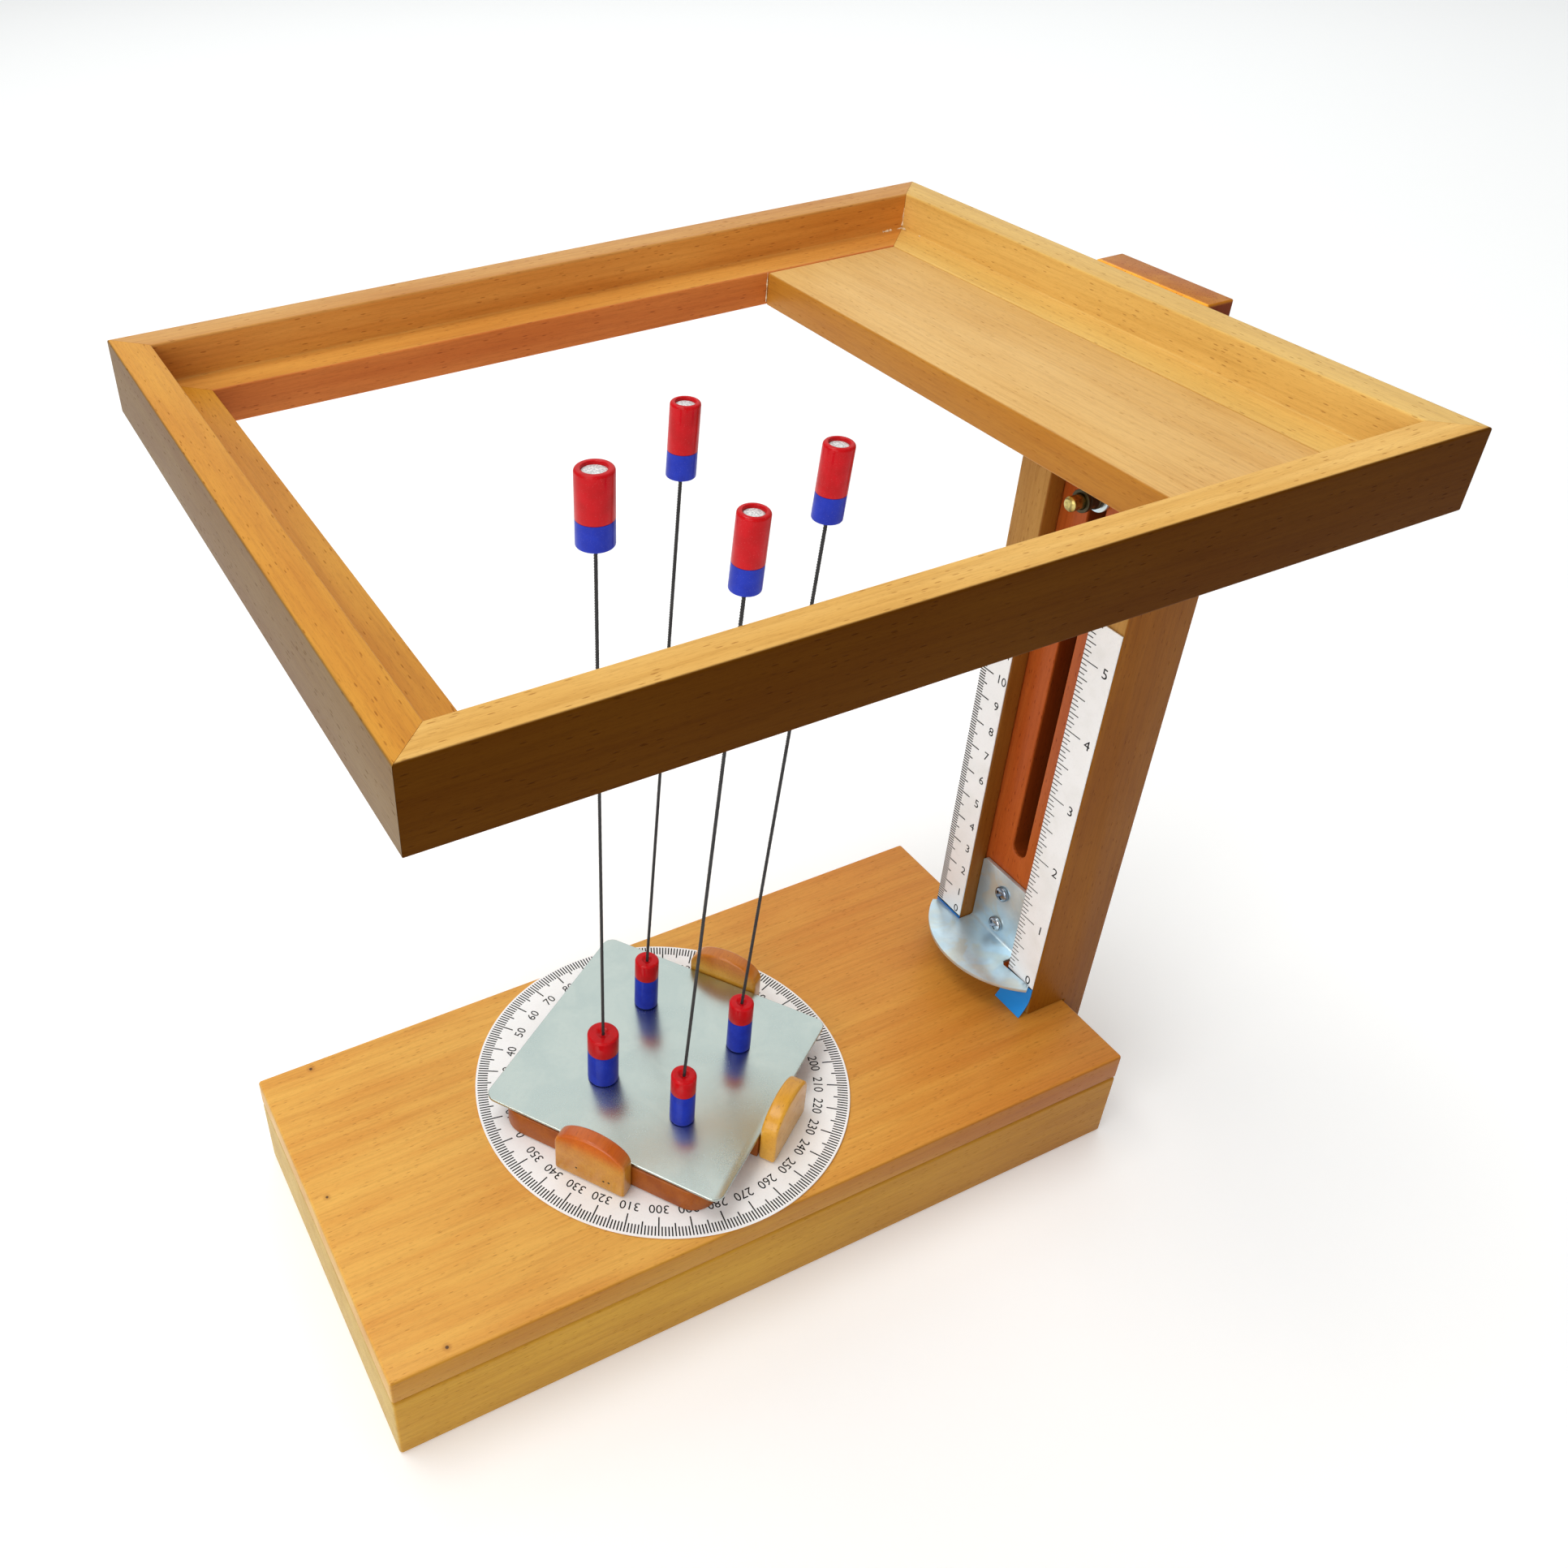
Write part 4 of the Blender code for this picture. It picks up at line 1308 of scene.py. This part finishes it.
@dataclass
class MagnetSet:
    """A foot magnet, its taut thread and the raised magnet, each capped red and blue."""

    tag: str
    finishes: Finishes
    length: float = 20.2 * MM
    long_cap: float = 13.0 * MM
    seam: float = 0.06 * MM
    lip_step: float = 0.02 * MM
    cup_share: float = 0.66
    cup_depth: float = 1.2 * MM

    def build(self) -> None:
        """Build the set's pieces."""
        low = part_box(f"foot_blue_{self.tag}")[0]
        red_low, red_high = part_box(f"foot_red_{self.tag}")
        radius = (red_high.x - red_low.x) / 2
        centre = (red_low + red_high) / 2
        foot = Matrix.Translation((centre.x, centre.y, low.z))
        self.cap("foot_blue", self.blue_shape(radius, self.long_cap), foot)
        self.cap("foot_red", self.dished(radius, self.length), foot)
        place = self.raised_place()
        blue = self.length - self.long_cap
        self.cap("top_blue", self.blue_shape(radius, blue), place)
        self.cap("top_red", self.cupped(radius, blue), place)
        cup = radius * self.cup_share - 0.05 * MM
        floor = self.length - self.cup_depth
        core = [(0, floor - 0.5 * MM), (cup, floor - 0.5 * MM), (cup, floor + 0.25 * MM),
                (cup * 0.8, floor + 0.42 * MM), (0, floor + 0.5 * MM)]
        Workshop.piece(f"core_{self.tag}", Workshop.lathe(core, place, 40), self.finishes.core,
                       f"magnet_{self.tag}", "zinc")
        start = Vector((centre.x, centre.y, red_high.z - self.cup_depth))
        thread = Cordage().spun(start, place @ Vector((0, 0, 0.2 * MM)), self.finishes.yarn)
        Workshop.piece(f"thread_{self.tag}_spun", thread, self.finishes.yarn, f"magnet_{self.tag}",
                       "thread_black", [f"thread_{self.tag}"])

    def cap(self, part: str, outline: Sequence[Point], place: Matrix) -> None:
        """Turn one cap in the colour that its name ends with, and let it stand for its node."""
        colour = part.split("_")[1]
        finish = self.finishes.red if colour == "red" else self.finishes.blue
        node = f"{part}_{self.tag}"
        Workshop.piece(node + "_cap", Workshop.lathe(outline, place, 56), finish,
                       f"magnet_{self.tag}", f"{colour}_cap", [node])

    def raised_place(self) -> Matrix:
        """Axis of the raised magnet, from its blue end."""
        blue_low, blue_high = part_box(f"top_blue_{self.tag}")
        red_low, red_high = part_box(f"top_red_{self.tag}")
        blue = (blue_low + blue_high) / 2
        axis = ((red_low + red_high) / 2 - blue).normalized()
        foot = blue - axis * ((self.length - self.long_cap) / 2)
        return Matrix.Translation(foot) @ axis.to_track_quat("Z", "Y").to_matrix().to_4x4()

    def blue_shape(self, radius: float, top: float) -> list[Point]:
        """Blue cap: a plain drum with an eased lower edge."""
        seam = top - self.seam
        drum = Workshop.fillet([(0.0, 0.0), (radius, 0.0), (radius, seam), (0.0, seam)], 0.45 * MM, 4)
        eased = [p for p in drum if p[0] > 1e-6 and p[1] < top * 0.9]
        return [(0.0, 0.0)] + eased + [(radius - self.lip_step, seam), (0.0, seam)]

    def flank(self, radius: float, low: float, shoulder: float, steps: int) -> list[Point]:
        """Side of a red cap from its seam up to its rounded shoulder.

        Args:
            radius: the cap's radius.
            low: height of its lower end.
            shoulder: how far the rounding reaches.
            steps: facets round the shoulder.

        Returns:
            The profile's points, bottom to top.
        """
        points = [(0.0, low), (radius - self.lip_step, low), (radius, low + 0.05 * MM)]
        for k in range(steps + 1):
            a = k * math.pi / (2 * steps)
            points.append((radius - shoulder * (1 - math.cos(a)),
                           self.length - shoulder * (1 - math.sin(a))))
        return points

    def dished(self, radius: float, top: float) -> list[Point]:
        """Red foot cap: rounded shoulder and a soft dish where the thread comes out."""
        points = self.flank(radius, self.long_cap + self.seam, 0.8 * MM, 6)
        dish = radius * 0.52
        depth = 0.7 * MM
        for k in range(9):
            share = k / 8
            fall = 0.5 - 0.5 * math.cos(math.pi * share)
            points.append((dish * (1 - share * 0.75), top - depth * fall))
        points.append((0.0, top - depth - 0.1 * MM))
        return points

    def cupped(self, radius: float, low: float) -> list[Point]:
        """Raised red cap: rounded lip round a cup that shows the magnet."""
        top = self.length
        points = self.flank(radius, low + self.seam, 0.85 * MM, 7)
        cup = radius * self.cup_share
        lip = 0.3 * MM
        points += [(cup + lip * (1 - math.sin(a)), top - lip * (1 - math.cos(a)))
                   for a in (k * math.pi / 8 for k in range(5))]
        points += [(cup, top - self.cup_depth), (0.0, top - self.cup_depth)]
        return points


@dataclass
class Pointer:
    """Bent zinc bracket that reads the scales, and its two screws."""

    finishes: Finishes
    thick: float = 1.2 * MM
    bend: float = 1.7 * MM
    arc_radius: float = 31.0 * MM
    tongue: tuple[float, float] = (-10.9 * MM, 12.9 * MM)
    horn_inset: float = 1.2 * MM
    back_x: float = 109.1 * MM

    def outline(self, flat_end: float, tip: float) -> list[Point]:
        """Flat pattern of the bracket: half-moon, then tongue."""
        low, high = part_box("pointer_bracket")
        half = (high.y - low.y) / 2
        centre = low.x + self.arc_radius
        sweep = math.asin(half / self.arc_radius)
        steps = 48
        points = []
        for k in range(steps + 1):
            a = math.pi - sweep + 2 * sweep * k / steps
            points.append((centre + self.arc_radius * math.cos(a), self.arc_radius * math.sin(a)))
        right, left = self.tongue
        soft = 1.0 * MM
        points += [(self.back_x, -half + self.horn_inset), (self.back_x - 1 * MM, right - 1.5 * MM),
                   (self.back_x, right), (flat_end, right), (tip - soft, right), (tip, right + soft),
                   (tip, left - soft), (tip - soft, left), (flat_end, left), (self.back_x, left),
                   (self.back_x, half - self.horn_inset)]
        return points

    def build(self) -> None:
        """Fold the bracket and drive its screws."""
        low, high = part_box("pointer_bracket")
        wall = high.x - self.thick / 2
        level = low.z + self.thick / 2
        flat_end = wall - self.bend
        arc = self.bend * math.pi / 2
        tip = flat_end + arc + high.z - level - self.bend
        work = bmesh.new()
        work.faces.new([work.verts.new((x, y, 0)) for x, y in self.outline(flat_end, tip)])
        cuts = 8
        for k in range(cuts + 1):
            parts = work.verts[:] + work.edges[:] + work.faces[:]
            bmesh.ops.bisect_plane(work, geom=parts, plane_co=(flat_end + arc * k / cuts, 0, 0),
                                   plane_no=(1, 0, 0))
        for vert in work.verts:
            run = vert.co.x - flat_end
            angle = min(max(run / self.bend, 0.0), math.pi / 2)
            beyond = max(run - arc, 0.0)
            before = min(run, 0.0)
            vert.co.x = flat_end + before + self.bend * math.sin(angle)
            vert.co.z = level + self.bend * (1 - math.cos(angle)) + beyond
        sheet = bpy.data.objects.new("bracket", Workshop.plain(work, "bracket"))
        shell = sheet.modifiers.new("gauge", "SOLIDIFY")
        shell.thickness = self.thick
        shell.offset = 0.0
        ease = sheet.modifiers.new("ease", "BEVEL")
        ease.width = 0.18 * MM
        ease.segments = 2
        ease.limit_method = "ANGLE"
        ease.angle_limit = math.radians(50)
        mesh = Workshop.smooth(Workshop.evaluated(sheet), 32)
        Workshop.piece("pointer_bracket_folded", mesh, self.finishes.zinc, "carriage", "zinc",
                       ["pointer_bracket"])
        for node in ("pointer_screw_upper", "pointer_screw_lower"):
            self.screw(node)

    def screw(self, node: str) -> None:
        """Turn a pan head and sink its cross recess."""
        radius, height, place = lying(node)
        profile = [(0, 0), (radius, 0), (radius, height * 0.35)]
        profile += [(radius * math.cos(a), height * (0.35 + 0.65 * math.sin(a)))
                    for a in (k * math.pi / 20 for k in range(1, 10))]
        profile += [(0, height)]
        head = Workshop.lathe(profile, Matrix.Identity(4), 40)
        shape = bpy.data.objects.new("head", head)
        arm, slot, depth = radius * 0.62, radius * 0.17, height * 0.75
        cutters = []
        for quarter in range(2):
            turn = Matrix.Rotation(math.radians(45 + 90 * quarter), 4, "Z")
            blade = Workshop.slab([(-arm, -slot), (arm, -slot), (arm, slot), (-arm, slot)], depth * 2,
                                  turn @ Matrix.Translation((0, 0, height - depth)))
            cutter = bpy.data.objects.new("blade", blade)
            bpy.context.scene.collection.objects.link(cutter)
            cut = shape.modifiers.new("recess", "BOOLEAN")
            cut.object = cutter
            cutters.append(cutter)
        mesh = Workshop.evaluated(shape)
        for cutter in cutters:
            bpy.data.objects.remove(cutter, do_unlink=True)
        mesh.transform(place)
        Workshop.piece(node + "_driven", Workshop.smooth(mesh, 30), self.finishes.screw, "carriage",
                       "zinc", [node])


@dataclass(frozen=True)
class Rail:
    """One frame rail: how its outer face is turned, its grain and its wood."""

    side: str
    turn: float
    grain: Grain
    pale: Colour
    deep: Colour
    # painted shade and glare on single faces
    tonings: tuple[Toning, ...] = ()
    sheen: float = 0.18


@dataclass
class Carriage:
    """Slotted panel, the four mitred frame rails and the shelf board."""

    finishes: Finishes
    ledge_inner: float = 19.9 * MM
    rim: float = 9.0 * MM
    ledge_drop: float = 10.0 * MM
    mitre_gap: float = 0.05 * MM
    arris: float = 0.55 * MM
    bead: float = 0.28 * MM

    def build(self) -> None:
        """Build the carriage."""
        # painted light: the panel's top end face is brightened well past the rest of the panel
        end = Toning.on_face("slide_panel", "+Z", (2.5, 5.0, 1.8), 1.0 * MM, 0.2 * MM)
        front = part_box("slide_panel")[0].x
        # painted shade: everything more than about a millimetre behind the front face is darkened, which
        # shades the slot's walls
        slot = Toning("X", front + 0.3 * MM, front + 1.3 * MM, (0.44, 0.36, 0.30))
        panel = Beech("slide_panel_wood", (0.475, 0.108, 0.018), (0.37, 0.062, 0.008), Grain.UPRIGHT,
                      17.0, flecks=0.7, roughness=0.38, coat=0.1, sheen=0.12, tonings=(end, slot)).build()
        Workshop.piece("slide_panel_worn", Workshop.refined("slide_panel", 0.4 * MM), panel,
                       "carriage", "beech_red", ["slide_panel"])
        self.rails()
        # painted shade: the shelf's front edge face (-X) is darkened
        edge = Toning.on_face("frame_shelf", "-X", (0.62, 0.43, 0.13))
        shelf = Beech("shelf_wood", (0.76, 0.475, 0.165), (0.68, 0.38, 0.105), Grain.CROSSWISE, 23.0,
                      flecks=0.28, roughness=0.48, tonings=(edge,)).build()
        Workshop.piece("frame_shelf_worn", Workshop.refined("frame_shelf", 0.2 * MM, 2), shelf,
                       "carriage", "beech_top", ["frame_shelf"])
        self.glue()

    def section(self, low: float, high: float) -> list[Point]:
        """Rebated section: distance in from the outer face, and height."""
        ledge = high - self.ledge_drop
        points = [(0, low), (self.ledge_inner, low), (self.ledge_inner, ledge), (self.rim, ledge),
                  (self.rim, high), (0, high)]
        return Workshop.fillet(points, self.arris, 4)

    def rails(self) -> None:
        """Build the four rails with tight mitres."""
        # painted shade on the near rail's outer face (-Y) and on the far rail's inner face (-Y); painted
        # shade with a grey painted glare on the left rail's outer face (-X); a paler, greyer painted
        # glare on the far rail's top (+Z)
        near_face_shade = Toning.on_face("frame_rail_near", "-Y", (0.130, 0.070, 0.010), 0.9 * MM, 0.2 * MM)
        left_face_shade_and_glare = Toning.on_face("frame_rail_left", "-X", (0.275, 0.335, 0.79), 1.0 * MM, 0.4 * MM)
        far_rim_glare = Toning.on_face("frame_rail_far", "+Z", (0.93, 1.06, 1.45), 0.9 * MM, 0.2 * MM)
        far_inner_shade = Toning.on_face("frame_rail_far", "-Y", (0.85, 0.56, 0.58), 0.8 * MM, 0.1 * MM)
        rails = (
            Rail("near", 0, Grain.LENGTHWISE, (0.85, 0.53, 0.17), (0.71, 0.39, 0.10), (near_face_shade,), 0.02),
            Rail("right", 90, Grain.CROSSWISE, (0.77, 0.49, 0.137), (0.67, 0.39, 0.090)),
            Rail("far", 180, Grain.LENGTHWISE, (0.73, 0.34, 0.066), (0.59, 0.22, 0.032),
                 (far_rim_glare, far_inner_shade)),
            Rail("left", 270, Grain.CROSSWISE, (0.68, 0.31, 0.028), (0.56, 0.21, 0.014), (left_face_shade_and_glare,)),
        )
        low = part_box("frame_rail_near")[0].xy
        high = Vector((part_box("frame_rail_right")[1].x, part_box("frame_rail_far")[1].y))
        middle, reach = (low + high) / 2, (high - low) / 2
        for seed, rail in enumerate(rails):
            node = f"frame_rail_{rail.side}"
            wood = Beech(node + "_wood", rail.pale, rail.deep, rail.grain, 27.0 + seed, flecks=0.5,
                         coat=0.0, sheen=rail.sheen, tonings=rail.tonings).build()
            crosswise = rail.grain is Grain.CROSSWISE
            half, out = (reach.y, reach.x) if crosswise else (reach.x, reach.y)
            mesh = self.rail(node, half)
            turn = Matrix.Rotation(math.radians(rail.turn), 4, "Z")
            mesh.transform(Matrix.Translation((*middle, 0)) @ turn @ Matrix.Translation((0, -out, 0)))
            Workshop.piece(node + "_mitred", Workshop.smooth(mesh, 30), wood, "carriage", "beech_top",
                           [node])

    def rail(self, node: str, half: float) -> bpy.types.Mesh:
        """One rail along X with its outer face at y = 0 and both ends cut at 45 degrees."""
        low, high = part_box(node)
        section = self.section(low.z, high.z)
        work = bmesh.new()
        ends = []
        for side in (-1, 1):
            ends.append([work.verts.new((side * (half - y - self.mitre_gap), y, z))
                         for y, z in section])
        count = len(section)
        for k in range(count):
            after = (k + 1) % count
            work.faces.new((ends[0][k], ends[0][after], ends[1][after], ends[1][k]))
        work.faces.new(ends[0])
        work.faces.new(ends[1])
        bmesh.ops.recalc_face_normals(work, faces=work.faces)
        return Workshop.plain(work, node)

    def glue(self) -> None:
        """Squeezed-out glue in the corners of the rebate and along the shelf."""
        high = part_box("frame_rail_far")[1]
        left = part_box("frame_rail_left")[0].x
        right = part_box("frame_rail_right")[1].x
        shelf_low, shelf_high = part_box("frame_shelf")
        level = high.z - self.ledge_drop + 0.1 * MM
        near_y, far_y = -high.y + self.rim, high.y - self.rim
        right_wall, left_wall = right - self.rim, left + self.rim
        shelf_foot = shelf_low.z + 1 * MM
        lines = (
            ((right_wall, far_y, level), (right_wall, far_y - 9 * MM, level)),
            ((right_wall, far_y, level), (right_wall - 7 * MM, far_y, level)),
            ((right_wall, far_y, level + 0.9 * MM), (right_wall, far_y, high.z - 4 * MM)),
            ((left_wall, far_y, level), (left_wall + 6 * MM, far_y, level)),
            ((left_wall, near_y, level), (left_wall, near_y + 5 * MM, level)),
            ((right_wall, near_y, level), (right_wall, near_y + 6 * MM, level)),
            ((shelf_low.x, shelf_high.y, shelf_foot), (shelf_low.x, shelf_high.y, shelf_high.z)),
            ((shelf_low.x, shelf_low.y, shelf_foot), (shelf_low.x, shelf_low.y, shelf_high.z)),
        )
        beads = [GlueBead(Vector(start), Vector(stop), self.bead, float(seed)).drawn(self.finishes.glue)
                 for seed, (start, stop) in enumerate(lines)]
        Workshop.piece("glue_beads", Workshop.joined(beads), self.finishes.glue, "carriage",
                       "beech_pale")


@dataclass(frozen=True)
class Lamp:
    """A soft square light that faces the object."""

    name: str
    spot: tuple[float, float, float]
    size: float
    power: float
    colour: Colour

    def hang(self, aim: Vector) -> None:
        """Hang the light and turn it toward a point."""
        data = bpy.data.lights.new(self.name, "AREA")
        data.size = self.size
        data.energy = self.power
        data.color = self.colour
        lamp = bpy.data.objects.new(self.name, data)
        lamp.location = self.spot
        lamp.rotation_euler = (aim - Vector(self.spot)).to_track_quat("-Z", "Y").to_euler()
        bpy.context.scene.collection.objects.link(lamp)


@dataclass
class Studio:
    """Pale floor, soft lights and the camera."""

    eye: Vector = field(default_factory=lambda: Vector((-181.6, -271.7, 421.4)) * MM)
    tilt: float = 51.291
    roll: float = 1.905
    heading: float = -25.410
    lens: float = 33.99
    shift: Point = (0.1624, 0.0033)
    floor_reach: float = 9.0
    aim: tuple[float, float, float] = (0, 0, 0.12)
    lamps: tuple[Lamp, ...] = (
        Lamp("sky_panel", (0.66, 1.12, 1.48), 2.7, 17.5, (0.97, 1.0, 0.985)),
        Lamp("key", (-0.60, 0.30, 2.10), 1.0, 17.0, (1.0, 0.985, 0.95)),
        Lamp("fill", (-1.70, -0.95, 1.05), 1.6, 24.0, (1.0, 0.99, 0.98)),
    )

    def build(self) -> None:
        """Set the stage."""
        self.floor()
        self.camera()
        for lamp in self.lamps:
            lamp.hang(Vector(self.aim))
        world = bpy.data.worlds.new("studio")
        world.use_nodes = True
        sky = world.node_tree.nodes["Background"]
        sky.inputs["Color"].default_value = (0.96, 0.98, 1.0, 1.0)
        sky.inputs["Strength"].default_value = 0.36
        bpy.context.scene.world = world
        bpy.context.scene.view_settings.view_transform = "Standard"

    def floor(self) -> None:
        """Lay the floor just under the object."""
        reach = self.floor_reach
        mesh = bpy.data.meshes.new("floor")
        mesh.from_pydata([(-reach, -reach, 0), (reach, -reach, 0), (reach, reach, 0),
                          (-reach, reach, 0)], [], [(0, 1, 2, 3)])
        mesh.materials.append(Backdrop("pale_floor").build())
        floor = bpy.data.objects.new("floor", mesh)
        floor.location.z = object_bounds()[0].z - 0.2 * MM
        bpy.context.scene.collection.objects.link(floor)
        floor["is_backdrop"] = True

    def camera(self) -> None:
        """Stand the camera where the object is seen from above its near left corner."""
        data = bpy.data.cameras.new("camera")
        data.sensor_width = 36.0
        data.lens = self.lens
        data.shift_x, data.shift_y = self.shift
        data.clip_start = 0.01
        data.clip_end = 50.0
        camera = bpy.data.objects.new("camera", data)
        camera.location = self.eye
        camera.rotation_euler = [math.radians(a) for a in (self.tilt, self.roll, self.heading)]
        bpy.context.scene.collection.objects.link(camera)
        bpy.context.scene.camera = camera


def main() -> None:
    """Build the whole stand in order."""
    logging.basicConfig(level=logging.INFO, format="%(name)s: %(message)s")
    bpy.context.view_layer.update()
    Studio().build()
    finishes = Finishes()
    Base().build()
    Dial(finishes).build()
    Column(finishes).build()
    Clamp(finishes).build()
    Turntable(finishes).build()
    Plate(finishes).build()
    for tag in "abcd":
        MagnetSet(tag, finishes).build()
    Pointer(finishes).build()
    Carriage(finishes).build()


if __name__ == "__main__":
    main()
